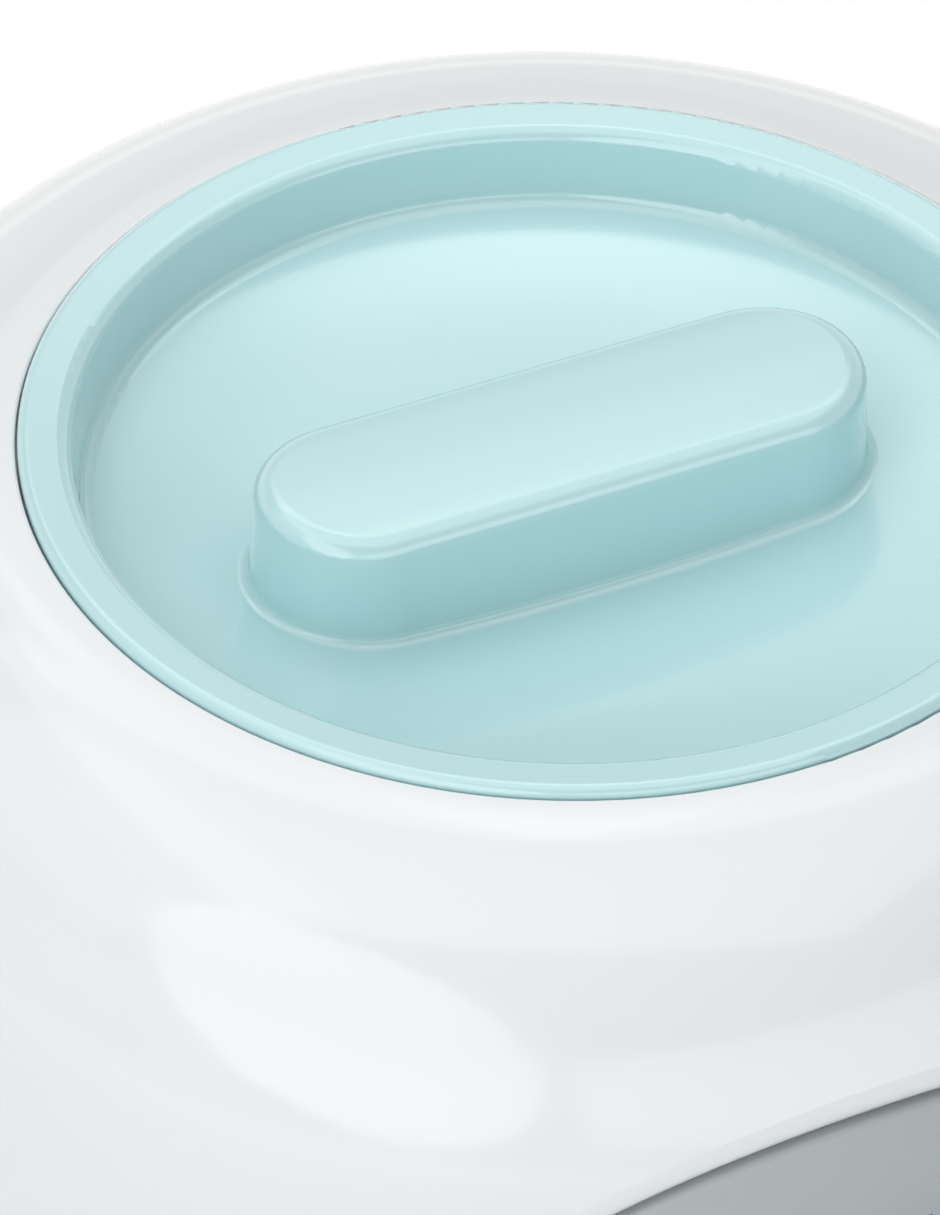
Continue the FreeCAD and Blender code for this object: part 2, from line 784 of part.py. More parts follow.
def make_knob():
    """The hollow temperature knob with a fluted grip, a hub and a pointer groove."""
    length = knob_back_y - knob_front_y
    front_r = knob_r - knob_taper
    grip = Part.makeCone(knob_r, front_r, length, V(0, knob_back_y, panel_z), FRONT)
    for p in around(knob_flutes, 1.0, 90.0 + 180.0 / knob_flutes):
        base = V(p.x, 0, p.y)
        reach = knob_flute_r - knob_flute_bite
        start = V(0, knob_back_y - knob_skirt, panel_z) + base * (knob_r + reach)
        end = V(0, knob_front_y - overrun, panel_z) + base * (front_r + reach)
        grip = grip.cut(rod(knob_flute_r, start, end))
    grip = grip.common(knob_nose(length))
    hollow = rod(front_r - knob_wall - knob_flute_bite, V(0, knob_back_y, panel_z),
                 V(0, knob_front_y + knob_wall, panel_z))
    hub_y = recess_floor_y - bush_stand_out - knob_hub_gap
    hub = rod(knob_hub_r, V(0, hub_y, panel_z), V(0, knob_front_y + knob_wall / 2, panel_z))
    pointer_length = front_r * pointer_share
    pointer = block(V(pointer_width, 2 * pointer_depth, pointer_length),
                    V(0, knob_front_y, panel_z + front_r - pointer_length / 2))
    pointer.rotate(V(0, 0, panel_z), REAR, pointer_angle)
    mouth_y = hub_y + socket_lead
    socket = d_rod(spindle_r + spindle_fit, spindle_flat + spindle_fit, mouth_y, mouth_y,
                   knob_front_y + knob_wall + socket_floor - socket_lead)
    return grip.cut(hollow).fuse(hub).cut(pointer).cut(socket)


def knob_nose(length):
    """A turned blank that rounds the front edge of the knob."""
    blank = Part.makeCylinder(knob_r, length, V(0, knob_back_y, panel_z), FRONT)
    front_r = knob_r - knob_taper
    nose = Part.makeCone(knob_r + near, front_r, length, V(0, knob_back_y, panel_z), FRONT)
    nose = round_edges(nose, knob_edge_round, lambda p: abs(p.y - knob_front_y) < touch)
    return blank.common(nose)


def make_thermostat():
    """The thermostat: a moulded case with a bush through the panel and blade terminals."""
    mid_y = panel_back_y + thermostat_depth / 2
    case = block(V(thermostat_width, thermostat_depth, thermostat_height), V(0, mid_y, panel_z))
    upright = [e for e in case.Edges if abs(e.tangentAt(e.FirstParameter).y) > 0.9]
    case = case.makeFillet(thermostat_round, upright)
    bush = rod(bush_r, V(0, panel_back_y + overrun, panel_z),
               V(0, recess_floor_y - bush_stand_out, panel_z))
    studs = []
    for low_z, high_z, xs in (
        (thermostat_low_z - terminal_length, thermostat_low_z + overrun, (-terminal_x, terminal_x)),
        (thermostat_top_z - overrun, thermostat_top_z + terminal_length, (terminal_x,)),
    ):
        for x in xs:
            studs.append(rod(terminal_r, V(x, terminal_y, low_z), V(x, terminal_y, high_z)))
    case = case.multiFuse([bush] + studs)
    bore = rod(spindle_r + bush_bore_play, V(0, panel_back_y + spindle_depth + tip_gap, panel_z),
               V(0, -body_r, panel_z))
    hole_y = panel_back_y + thermostat_screw_reach + screw_spare
    holes = [rod(small_screw_r + thread_play, V(side * thermostat_screw_x, hole_y, panel_z),
                 V(side * thermostat_screw_x, panel_back_y - overrun, panel_z)) for side in (-1, 1)]
    return case.cut(bore).cut(Part.makeCompound(holes)).removeSplitter()


def make_thermostat_screws():
    """Two screws under the knob that hold the thermostat behind the panel."""
    return [screw(V(side * thermostat_screw_x, panel_back_y + thermostat_screw_reach, panel_z),
                  V(side * thermostat_screw_x, recess_floor_y, panel_z),
                  small_screw_r, small_screw_head_r, small_screw_head) for side in (-1, 1)]


def saddle(radius, angle_deg, low_z):
    """A strip clip over an upright rod of a radius, with two wings along the heater well."""
    ring_r = well_out_r + radius + clip_play
    inner = radius + clip_play
    outer = inner + clip_thickness
    centre = from_front(angle_deg, ring_r, low_z)
    arch = Part.makeCylinder(outer, clip_width, centre)
    wing_angle = math.degrees((outer + clip_wing) / well_out_r)
    wings = ring(well_out_r + clip_lift, well_out_r + clip_lift + clip_thickness, low_z, low_z + clip_width)
    keep = Part.makeCylinder(well_out_r + 2 * outer, clip_width, V(0, 0, low_z), UP, 2 * wing_angle)
    keep.rotate(V(0, 0, 0), UP, angle_deg - 90 - wing_angle)
    clip = arch.fuse(wings.common(keep))
    clip = clip.cut(Part.makeCylinder(inner, clip_width, centre))
    return clip.cut(Part.makeCylinder(well_out_r + clip_lift, clip_width, V(0, 0, low_z)))


def bulb_low_z():
    """The lower end of the sensor bulb, midway up the heater well."""
    return (well_low_z + flange_low_z) / 2 - bulb_length / 2


def fuse_low_z():
    """The lower end of the thermal fuse, midway up the heater well."""
    return (well_low_z + flange_low_z) / 2 - fuse_length / 2


def make_sensor():
    """The thermostat's bulb with its capillary up and over to the case."""
    low = from_front(bulb_angle, bulb_ring_r, bulb_low_z())
    high = low + UP * bulb_length
    bulb = rod(bulb_r, low, high)
    ends = (low.z, high.z)
    bulb = round_edges(bulb, bulb_end_round, lambda p: min(abs(p.z - end) for end in ends) < touch)
    entry = V(-terminal_x, terminal_y, thermostat_top_z)
    crest = high.z + capillary_rise
    route = [high - UP, V(high.x, high.y, crest), V(entry.x, entry.y, crest), entry]
    return one(bulb, tube(route, capillary_r, capillary_bend))


def make_fuse():
    """The thermal fuse in its sleeve, with a leg at each end."""
    low = from_front(fuse_angle, lead_fuse_r, fuse_low_z())
    high = low + UP * fuse_length
    body = rod(fuse_r, low, high)
    ends = (low.z, high.z)
    body = round_edges(body, fuse_end_round, lambda p: min(abs(p.z - end) for end in ends) < touch)
    legs = rod(fuse_leg_r, low - UP * fuse_leg, high + UP * fuse_leg)
    return one(body, legs)


def make_sleeve():
    """The glass-fibre sleeve round the heater well, open towards the thermostat."""
    inner = well_out_r + sleeve_gap
    low_z = well_low_z + pot_floor_round
    high_z = flange_low_z - sleeve_margin
    wrap = ring(inner, inner + sleeve_thickness, low_z, high_z)
    mouth = Part.makeCylinder(body_r, high_z - low_z, V(0, 0, low_z), UP, sleeve_open_angle)
    mouth.rotate(V(0, 0, 0), UP, -90 - sleeve_open_angle / 2)
    return wrap.cut(mouth)


def make_heater():
    """The plate heater under the well, with two terminal studs towards the rear."""
    plate = ring(stud_r + hole_play, heater_r, heater_low_z, well_low_z)
    low_z = heater_low_z - heater_stud_drop
    studs = [rod(heater_stud_r, V(side * heater_stud_x, heater_stud_y, low_z),
                 V(side * heater_stud_x, heater_stud_y, heater_low_z + overrun)) for side in (-1, 1)]
    return one(plate, *studs)


def make_pressure_plate():
    """The steel plate that presses the heater against the well."""
    plate = ring(stud_r + hole_play, pressure_plate_r, pressure_low_z, heater_low_z)
    return round_edges(plate, pressure_plate_thickness / 2,
                       lambda p: abs(p.z - pressure_low_z) < touch and math.hypot(p.x, p.y) > stud_r * 2)


def make_earth_tag():
    """The earth tag under the nut, with a tail for its lead."""
    eye = ring(stud_r + hole_play, tag_eye_r, tag_low_z, pressure_low_z)
    tail = block(V(tag_width, tag_tail, tag_thickness),
                 V(0, tag_tail / 2 + stud_r + overrun, tag_low_z + tag_thickness / 2))
    return one(eye, tail)


def make_plate_nut():
    """The nut that tightens the pressure plate and the earth tag."""
    return hex_nut(V(0, 0, tag_low_z - nut_height), UP, nut_across, nut_height, stud_r + thread_play)


def make_base():
    """The base plate with screw bosses, foot sockets and radial vent slots."""
    plate = Part.makeCylinder(base_r, base_thickness, V(0, 0, foot_gap))
    bosses = [rod(base_boss_r, p + UP * foot_gap, p + UP * (base_top_z + base_boss_rise))
              for p in around(4, base_screw_ring_r, 45)]
    plate = plate.multiFuse(bosses)
    rise = base_top_z + base_boss_rise
    cuts = []
    for p in around(4, base_screw_ring_r, 45):
        cuts.append(rod(screw_r + hole_play, p, p + UP * rise))
        cuts.append(rod(screw_head_r + hole_play, p, p + UP * (rise - base_thickness)))
    for p in around(4, foot_ring_r, 45):
        cuts.append(rod(foot_stem_r + hole_play, p, p + UP * rise))
        cuts.append(rod(foot_r + hole_play, p, p + UP * (foot_gap + foot_socket)))
    length = vent_outer_r - vent_inner_r
    for i in range(vent_count):
        slot = block(V(length, vent_width, 2 * rise), V((vent_inner_r + vent_outer_r) / 2, 0, 0))
        ends = [rod(vent_width / 2, V(x, 0, 0), V(x, 0, rise)) for x in (vent_inner_r, vent_outer_r)]
        slot = slot.multiFuse(ends)
        slot.rotate(V(0, 0, 0), UP, 360.0 * (i + 0.5) / vent_count)
        cuts.append(slot)
    return plate.cut(Part.makeCompound(cuts)).removeSplitter()


def make_feet():
    """Four rubber feet, each with a stem and a retaining head through the base plate."""
    feet = []
    for p in around(4, foot_ring_r, 45):
        pad = rod(foot_r, p, p + UP * (foot_gap + foot_socket))
        pad = round_edges(pad, foot_round, lambda q: q.z < touch)
        stem = rod(foot_stem_r, p + UP * foot_gap, p + UP * base_top_z)
        head = Part.makeCone(foot_head_r, foot_tip_r, foot_stem_rise, p + UP * base_top_z)
        feet.append(one(pad, stem, head))
    return feet


def make_base_screws():
    """Four screws up through the base plate into the body's posts."""
    seat = base_top_z + base_boss_rise - base_thickness
    tip_z = post_top - post_cap - screw_spare
    return [screw(p + UP * tip_z, p + UP * seat, screw_r, screw_head_r, screw_head)
            for p in around(4, base_screw_ring_r, 45)]


def make_gland():
    """The cord gland: a nose and flange outside, and a neck through the rear boss."""
    inner_y = gland_boss_back - gland_nut_height
    face_y = gland_boss_face
    nose_y = face_y + gland_flange + gland_nose_length

    def at(y):
        return V(0, y, gland_height)

    neck = rod(gland_neck_r, at(inner_y), at(face_y))
    flange = rod(gland_flange_r, at(face_y), at(face_y + gland_flange))
    flange = round_edges(flange, gland_edge_round, lambda p: abs(p.y - face_y - gland_flange) < touch)
    nose = Part.makeCone(gland_root_r, gland_nose_r, gland_nose_length,
                         at(face_y + gland_flange), REAR)
    nose = round_edges(nose, gland_edge_round, lambda p: abs(p.y - nose_y) < touch)
    return one(neck, flange, nose).cut(rod(gland_bore_r, at(inner_y), at(nose_y)))


def make_gland_nut():
    """The lock nut on the gland inside the body."""
    start = V(0, gland_boss_back - gland_nut_height, gland_height)
    return hex_nut(start, REAR, gland_nut_across, gland_nut_height, gland_neck_r + thread_play)


def pole_x(index):
    """Where one pole of the terminal block lies across the warmer."""
    return (index - (pole_count - 1) / 2) * pole_pitch


def pole_z():
    """The height of the terminal block's wire holes."""
    return base_top_z + pole_rise


def make_terminal_block():
    """The three-pole terminal block with wire holes and a screw well over each pole."""
    mid_z = base_top_z + block_height / 2
    case = block(V(block_width, block_length, block_height), V(0, block_y, mid_z))
    top_z = base_top_z + block_height
    case = round_edges(case, block_round, lambda p: p.z > top_z - touch)
    cuts = []
    for i in range(pole_count):
        x = pole_x(i)
        cuts.append(rod(pole_hole_r, V(x, block_y - block_length, pole_z()),
                        V(x, block_y + block_length, pole_z())))
        cuts.append(rod(pole_screw_r + hole_play, V(x, block_y, top_z - pole_screw_depth),
                        V(x, block_y, top_z + overrun)))
    for i in range(pole_count - 1):
        x = pole_x(i) + pole_pitch / 2
        cuts.append(block(V(block_notch, block_length + overrun, block_height), V(x, block_y, top_z)))
    return case.cut(Part.makeCompound(cuts))


def make_terminal_screws():
    """The slotted clamp screws in the terminal block."""
    top_z = base_top_z + block_height
    screws = []
    for i in range(pole_count):
        foot = V(pole_x(i), block_y, top_z - pole_screw_depth)
        top = foot + UP * pole_screw_length
        slot = block(V(2 * pole_screw_r, pole_slot_width, 2 * pole_slot_depth), top)
        screws.append(rod(pole_screw_r, foot, top).cut(slot))
    return screws


def pole_mouth(index):
    """Where a lead ends inside one pole of the terminal block."""
    return V(pole_x(index), block_y - block_length / 2 + lead_in_pole, pole_z())


def make_neutral_lead():
    """From the terminal block straight up to the heater's left stud."""
    start = pole_mouth(0)
    stud = V(-heater_stud_x, heater_stud_y, heater_low_z - heater_stud_drop)
    return tube([start, V(stud.x, stud.y, start.z), stud], lead_r, neutral_bend)


def make_earth_lead():
    """From the middle pole to the earth tag under the well."""
    start = pole_mouth(1)
    tail = V(0, tag_lead_y, tag_low_z)
    return tube([start, V(0, tail.y, start.z), tail], lead_r, lead_bend)


def make_live_lead():
    """From the terminal block under the well to the thermostat's right lower terminal."""
    start = pole_mouth(2)
    end = V(terminal_x, terminal_y, thermostat_low_z - terminal_length)
    route = [start, V(start.x, block_y - live_turn_back, start.z),
             V(live_run_x, block_y - live_run_back, lead_height),
             V(live_run_x, end.y * live_far_share, lead_height), V(end.x, end.y, lead_height), end]
    return tube(route, lead_r, lead_bend)


def make_switched_lead():
    """From the thermal fuse down and back under the well to the heater's right stud."""
    start = from_front(fuse_angle, lead_fuse_r, fuse_low_z() - fuse_leg)
    stud = V(heater_stud_x, heater_stud_y, heater_low_z - heater_stud_drop)
    route = [start, V(start.x, start.y, switched_height), V(stud.x, stud.y, switched_height), stud]
    return tube(route, lead_r, switched_bend)


def make_fuse_lead():
    """From the thermostat's upper terminal over to the thermal fuse."""
    start = V(terminal_x, terminal_y, thermostat_top_z + terminal_length)
    end = from_front(fuse_angle, lead_fuse_r, fuse_low_z() + fuse_length + fuse_leg)
    crest = max(start.z, end.z) + fuse_lead_rise
    route = [start, V(start.x, start.y, crest), V(end.x, end.y, crest), end]
    return tube(route, lead_r, fuse_lead_bend)


def make_lamp_leads():
    """A lead from each indicator lamp to the side of the thermostat."""
    leads = []
    for side in (-1, 1):
        start = V(side * lens_x, lamp_back_y(), panel_z)
        turn = start + REAR * lamp_lead_reach
        route = [start, turn, V(side * thermostat_width / 2, turn.y, panel_z)]
        leads.append(tube(route, lamp_lead_r, lamp_lead_bend))
    return leads


pieces = {
    "upper_housing": [make_housing()],
    "control_panel": [make_panel()],
    "panel_screws": make_panel_screws(),
    "power_lens": [make_lens(-1)],
    "heating_lens": [make_lens(1)],
    "indicator_lamps": make_lamps(),
    "lamp_leads": make_lamp_leads(),
    "temperature_knob": [make_knob()],
    "thermostat_spindle": [make_spindle()],
    "thermostat_body": [make_thermostat()],
    "thermostat_screws": make_thermostat_screws(),
    "sensor_bulb": [make_sensor()],
    "bulb_clip": [saddle(bulb_r, bulb_angle, bulb_low_z() + bulb_length / 2 - clip_width / 2)],
    "thermal_fuse": [make_fuse()],
    "fuse_clip": [saddle(fuse_r, fuse_angle, fuse_low_z() + fuse_length / 2 - clip_width / 2)],
    "lid": [make_lid()],
    "inner_pot": [make_pot()],
    "heater_well": [make_well()],
    "well_seal": [make_seal()],
    "well_screws": make_well_screws(),
    "insulation_sleeve": [make_sleeve()],
    "heater_plate": [make_heater()],
    "pressure_plate": [make_pressure_plate()],
    "earth_tag": [make_earth_tag()],
    "plate_nut": [make_plate_nut()],
    "base_plate": [make_base()],
    "rubber_feet": make_feet(),
    "base_screws": make_base_screws(),
    "cord_gland": [make_gland()],
    "gland_nut": [make_gland_nut()],
    "terminal_block": [make_terminal_block()],
    "terminal_screws": make_terminal_screws(),
    "neutral_lead": [make_neutral_lead()],
    "earth_lead": [make_earth_lead()],
    "live_lead": [make_live_lead()],
    "switched_lead": [make_switched_lead()],
    "fuse_lead": [make_fuse_lead()],
}

os.makedirs("parts", exist_ok=True)
for name, shapes in pieces.items():
    solids = [solid for shape in shapes for solid in shape.Solids]
    whole = solids[0] if len(solids) == 1 else Part.makeCompound(solids)
    print("%-20s solids %d volume %.1f valid %s" % (name, len(solids), whole.Volume, whole.isValid()))
    whole.exportStep("parts/%s.step" % name)
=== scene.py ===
"""Looks for a salon wax warmer: moulded plastics, spun and cast metal, dial print, stage and camera."""

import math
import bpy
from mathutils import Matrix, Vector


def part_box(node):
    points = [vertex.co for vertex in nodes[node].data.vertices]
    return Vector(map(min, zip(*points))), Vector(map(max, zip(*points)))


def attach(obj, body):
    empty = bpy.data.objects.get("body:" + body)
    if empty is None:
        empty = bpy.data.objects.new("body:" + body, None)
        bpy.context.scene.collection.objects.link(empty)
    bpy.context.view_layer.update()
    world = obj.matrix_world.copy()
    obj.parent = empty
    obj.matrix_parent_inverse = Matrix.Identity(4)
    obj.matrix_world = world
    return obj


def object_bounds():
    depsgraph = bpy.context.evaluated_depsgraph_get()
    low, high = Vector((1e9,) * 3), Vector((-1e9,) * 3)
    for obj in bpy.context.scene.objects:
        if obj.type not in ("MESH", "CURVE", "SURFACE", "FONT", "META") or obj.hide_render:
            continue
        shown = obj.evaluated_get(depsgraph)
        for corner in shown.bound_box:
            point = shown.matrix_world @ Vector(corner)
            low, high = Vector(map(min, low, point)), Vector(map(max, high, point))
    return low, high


bl_info = {
    "name": "Wax Warmer Looks",
    "version": (1, 0, 0),
    "blender": (4, 5, 0),
    "location": "View3D > Sidebar > Wax Warmer",
    "description": "Finishes, dial print, stage and camera for a salon wax warmer",
    "category": "Object",
}

import bmesh
import bpy
from bpy.props import FloatProperty, FloatVectorProperty, IntProperty, PointerProperty
from mathutils import Matrix, Quaternion, Vector
from mathutils.bvhtree import BVHTree

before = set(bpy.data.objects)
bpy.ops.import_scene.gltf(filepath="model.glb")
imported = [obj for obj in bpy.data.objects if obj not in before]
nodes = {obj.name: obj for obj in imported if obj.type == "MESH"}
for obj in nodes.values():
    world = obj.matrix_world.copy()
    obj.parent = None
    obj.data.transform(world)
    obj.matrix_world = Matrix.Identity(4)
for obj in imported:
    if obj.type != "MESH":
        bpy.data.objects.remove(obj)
cad_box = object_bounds()

MM = 0.001
# Share of the font's size that a figure's height takes.
FIGURE_SHARE = 0.7
# Thickness of the print, in parts of how far it stands proud.
PRINT_THICKNESS = 1.5
# How far in front of the part the search for the panel's surface starts, in metres.
PROBE_REACH = 1.0
ROUND_END_STEPS = 12
FLOOR_ROUGHNESS = 0.9
FLOOR_SPECULAR = 0.1
CLIP_NEAR, CLIP_FAR = 0.05, 50.0
# Distance of every softbox from the top of the lid, in metres.
BOX_DISTANCE = 1.3
KNOB_LOW, KNOB_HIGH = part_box("temperature_knob")
KNOB_CENTRE = (KNOB_LOW + KNOB_HIGH) / 2
LID_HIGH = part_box("lid")[1]

# Name, shape, setting with the radiance, azimuth and elevation in degrees, roll in degrees, size in metres.
SOFTBOXES = (
    ("top_box", "RECTANGLE", "top_level", (153.0, 86.5), 0.0, (1.90, 1.70)),
    ("side_box", "ELLIPSE", "side_level", (-54.0, 26.0), -45.0, (1.56, 0.95)),
    ("front_box", "RECTANGLE", "front_level", (5.0, 14.0), 0.0, (1.30, 0.60)),
    ("left_box", "RECTANGLE", "left_level", (-110.0, 45.0), 0.0, (1.00, 1.00)),
    ("strip_left", "RECTANGLE", "strip_level", (133.7, 54.5), 33.5, (0.67, 0.40)),
    ("strip_right", "RECTANGLE", "strip_level", (172.3, 54.5), -33.5, (0.67, 0.40)),
    ("back_box", "RECTANGLE", "back_level", (153.0, 46.3), 0.0, (0.80, 0.28)),
    ("rear_box", "RECTANGLE", "rear_level", (163.0, 41.0), 0.0, (0.55, 0.50)),
)


def colour_prop(name, description, default):
    """A linear colour that a user may change."""
    return FloatVectorProperty(
        name=name, description=description, default=default, size=3, min=0.0, max=1.0, subtype="COLOR"
    )


def length_prop(name, description, default):
    """A length in metres that a user may change."""
    return FloatProperty(
        name=name, description=description, default=default, subtype="DISTANCE", unit="LENGTH"
    )


def angle_prop(name, description, degrees):
    """An angle that a user may change."""
    return FloatProperty(
        name=name, description=description, default=math.radians(degrees), subtype="ANGLE", unit="ROTATION"
    )


def level_prop(name, description, default):
    """A brightness that a user may change, where one is white."""
    return FloatProperty(name=name, description=description, default=default, min=0.0)


class WarmerColours(bpy.types.PropertyGroup):
    """Colours of the warmer's finishes."""

    body: colour_prop("Body", "Glossy white of the body and the knob", (0.805, 0.828, 0.838))
    lid: colour_prop("Lid", "Pale mint of the lid", (0.505, 0.76, 0.783))
    panel: colour_prop("Panel", "Satin grey of the control panel", (0.42, 0.45, 0.468))
    base: colour_prop("Base", "Matt grey of the base plate and the cord gland", (0.56, 0.57, 0.57))
    rubber: colour_prop("Feet", "Rubber of the feet", (0.02, 0.02, 0.021))
    pot: colour_prop("Pot", "Spun aluminium of the lift-out pot", (0.46, 0.467, 0.475))
    well: colour_prop("Well", "Drawn aluminium of the heater well", (0.68, 0.69, 0.70))
    cast: colour_prop("Heater", "Cast aluminium of the heater plate", (0.46, 0.46, 0.47))
    zinc: colour_prop("Zinc", "Zinc plate of the fittings and steel of the spindle", (0.62, 0.63, 0.64))
    brass: colour_prop("Brass", "Brass of the earth tag and clamp screws", (0.70, 0.52, 0.22))
    copper: colour_prop("Copper", "Copper of the sensor bulb", (0.66, 0.34, 0.20))
    silicone: colour_prop("Seal", "Silicone of the well seal", (0.52, 0.10, 0.06))
    fibre: colour_prop("Sleeve", "Glass-fibre weave of the insulation", (0.74, 0.72, 0.62))
    moulding: colour_prop("Thermostat", "Black moulding of the thermostat", (0.018, 0.018, 0.019))
    ceramic: colour_prop("Fuse", "Sleeved ceramic of the thermal fuse", (0.70, 0.67, 0.58))
    block: colour_prop("Terminal block", "Ivory moulding of the terminal block", (0.72, 0.71, 0.64))
    power: colour_prop("Power lens", "Green of the power lens", (0.05, 0.52, 0.14))
    heating: colour_prop("Heating lens", "Amber of the heating lens", (0.86, 0.25, 0.015))
    lamp: colour_prop("Lamps", "Glass and holders of the indicator lamps", (0.82, 0.82, 0.78))
    neutral: colour_prop("Neutral lead", "Blue sheath", (0.015, 0.075, 0.36))
    earth: colour_prop("Earth lead", "Green of the striped sheath", (0.06, 0.28, 0.03))
    earth_stripe: colour_prop("Earth stripe", "Yellow of the striped sheath", (0.72, 0.56, 0.03))
    live: colour_prop("Live leads", "Brown sheath", (0.13, 0.045, 0.02))
    lamp_lead: colour_prop("Lamp leads", "Black sheath", (0.015, 0.015, 0.015))
    dial: colour_prop("Dial print", "Ink of the dial's figures and ticks", (0.045, 0.05, 0.053))
    pointer: colour_prop("Pointer", "Paint in the knob's pointer groove", (0.12, 0.36, 0.38))


class WarmerDial(bpy.types.PropertyGroup):
    """Sizes of the print round the temperature knob."""

    steps: IntProperty(name="Steps", description="Number of figures on the dial", default=6, min=2, max=12)
    sweep: angle_prop("Sweep", "Angle from the first figure to the last", 270.0)
    figure_ring: length_prop("Figure ring", "Radius of the ring of figures", 19.4 * MM)
    figure_height: length_prop("Figure height", "Height of a figure", 3.0 * MM)
    tick_start: length_prop("Tick start", "Radius at which a tick starts", 15.6 * MM)
    tick_length: length_prop("Tick length", "Length of a long tick", 1.6 * MM)
    tick_width: length_prop("Tick width", "Width of a tick", 0.42 * MM)
    ink: length_prop("Ink", "How far the print stands proud of the panel", 0.04 * MM)
    pointer_start: length_prop("Pointer start", "Radius at which the pointer's paint starts", 5.2 * MM)
    pointer_end: length_prop("Pointer end", "Radius at which the pointer's paint ends", 10.9 * MM)
    pointer_width: length_prop("Pointer width", "Width of the pointer's paint", 1.7 * MM)
    pointer_depth: length_prop("Pointer depth", "How deep the paint's surface lies in its groove", 0.3 * MM)
    pointer_floor: length_prop("Pointer floor", "Depth of the groove's floor", 0.6 * MM)


class WarmerStage(bpy.types.PropertyGroup):
    """Floor, light and camera."""

    floor_size: length_prop("Floor", "Side of the square floor", 12.0)
    floor_near: length_prop("Floor near", "Distance at which the floor begins to turn white", 0.5)
    floor_far: length_prop("Floor far", "Distance at which the floor is all white", 1.5)
    floor_colour: colour_prop("Floor colour", "Pale floor and backdrop", (0.86, 0.86, 0.86))
    floor_lift: level_prop("Floor lift", "Brightness added to the floor as it is seen, near the part", 0.30)
    ambient: level_prop("Ambient", "Even light of the studio", 0.30)
    ceiling: level_prop("Ceiling", "Brightness of the ceiling in reflections", 0.45)
    backdrop_top: angle_prop("Backdrop top", "Height where the backdrop starts to dim", 12.0)
    ceiling_edge: angle_prop("Ceiling edge", "Height where the ceiling starts", 32.0)
    top_level: level_prop("Top box", "Radiance of the softbox overhead", 0.93)
    side_level: level_prop("Side box", "Radiance of the softbox at the front left", 1.72)
    front_level: level_prop("Front box", "Radiance of the softbox in front", 0.95)
    left_level: level_prop("Left box", "Radiance of the softbox at the left", 0.52)
    strip_level: level_prop("Strip", "Radiance of the two strips above the rear", 0.85)
    back_level: level_prop("Back box", "Radiance of the softbox behind", 0.45)
    rear_level: level_prop("Rear box", "Radiance of the lower softbox behind", 0.6)
    azimuth: angle_prop("Azimuth", "Camera's turn from the front, negative towards the left", -26.3)
    elevation: angle_prop("Elevation", "Camera's height above the horizon", 40.33)
    roll: angle_prop("Roll", "Camera's turn about its own line of sight", 1.31)
    distance: length_prop("Distance", "Camera's distance from the point it looks at", 1300.0 * MM)
    frame_height: length_prop("Frame height", "Height of the picture at that point", 144.907 * MM)
    rim_height: length_prop("Rim height", "Height of the lid's rim", 114.0 * MM)
    rim_right: length_prop("Rim to the right", "How far right of the middle the lid shows", 10.984 * MM)
    rim_up: length_prop("Rim up", "How far above the middle the lid shows", 21.134 * MM)


class NodeTree:
    """Shorthand for adding and joining shader nodes."""

    def __init__(self, tree):
        self.tree = tree

    def add(self, kind, **values):
        """Adds a node and sets its inputs by name, and its own settings by attribute."""
        node = self.tree.nodes.new(kind)
        for key, value in values.items():
            if hasattr(node, key):
                setattr(node, key, value)
            else:
                node.inputs[key.replace("_", " ").title()].default_value = value
        return node

    def link(self, source, target):
        """Joins an output socket to an input socket."""
        self.tree.links.new(source, target)


def new_group(name, inputs, outputs):
    """A new shader node group with float inputs and outputs, and the nodes at its two ends."""
    tree = bpy.data.node_groups.new(name, "ShaderNodeTree")
    for label, default in inputs:
        socket = tree.interface.new_socket(label, in_out="INPUT", socket_type="NodeSocketFloat")
        socket.default_value = default
    for label in outputs:
        tree.interface.new_socket(label, in_out="OUTPUT", socket_type="NodeSocketFloat")
    build = NodeTree(tree)
    return build, build.add("NodeGroupInput"), build.add("NodeGroupOutput")


def mould_skin_group():
    """Moulded plastic: a slow mottle for colour and gloss, and a fine grain for height."""
    build, given, out = new_group(
        "Mould Skin",
        [("Mottle Scale", 22.0), ("Grain Scale", 900.0), ("Grain Share", 0.5)],
        ["Mottle", "Height"],
    )
    place = build.add("ShaderNodeTexCoord")
    mottle = build.add("ShaderNodeTexNoise", detail=3.0)
    grain = build.add("ShaderNodeTexNoise", detail=2.0)
    ripple = build.add("ShaderNodeTexNoise", scale=160.0, detail=1.0)
    mix = build.add("ShaderNodeMix")
    for noise in (mottle, grain, ripple):
        build.link(place.outputs["Object"], noise.inputs["Vector"])
    build.link(given.outputs["Mottle Scale"], mottle.inputs["Scale"])
    build.link(given.outputs["Grain Scale"], grain.inputs["Scale"])
    build.link(given.outputs["Grain Share"], mix.inputs[0])
    build.link(ripple.outputs[0], mix.inputs[2])
    build.link(grain.outputs[0], mix.inputs[3])
    build.link(mottle.outputs[0], out.inputs["Mottle"])
    build.link(mix.outputs[0], out.inputs["Height"])
    return build.tree


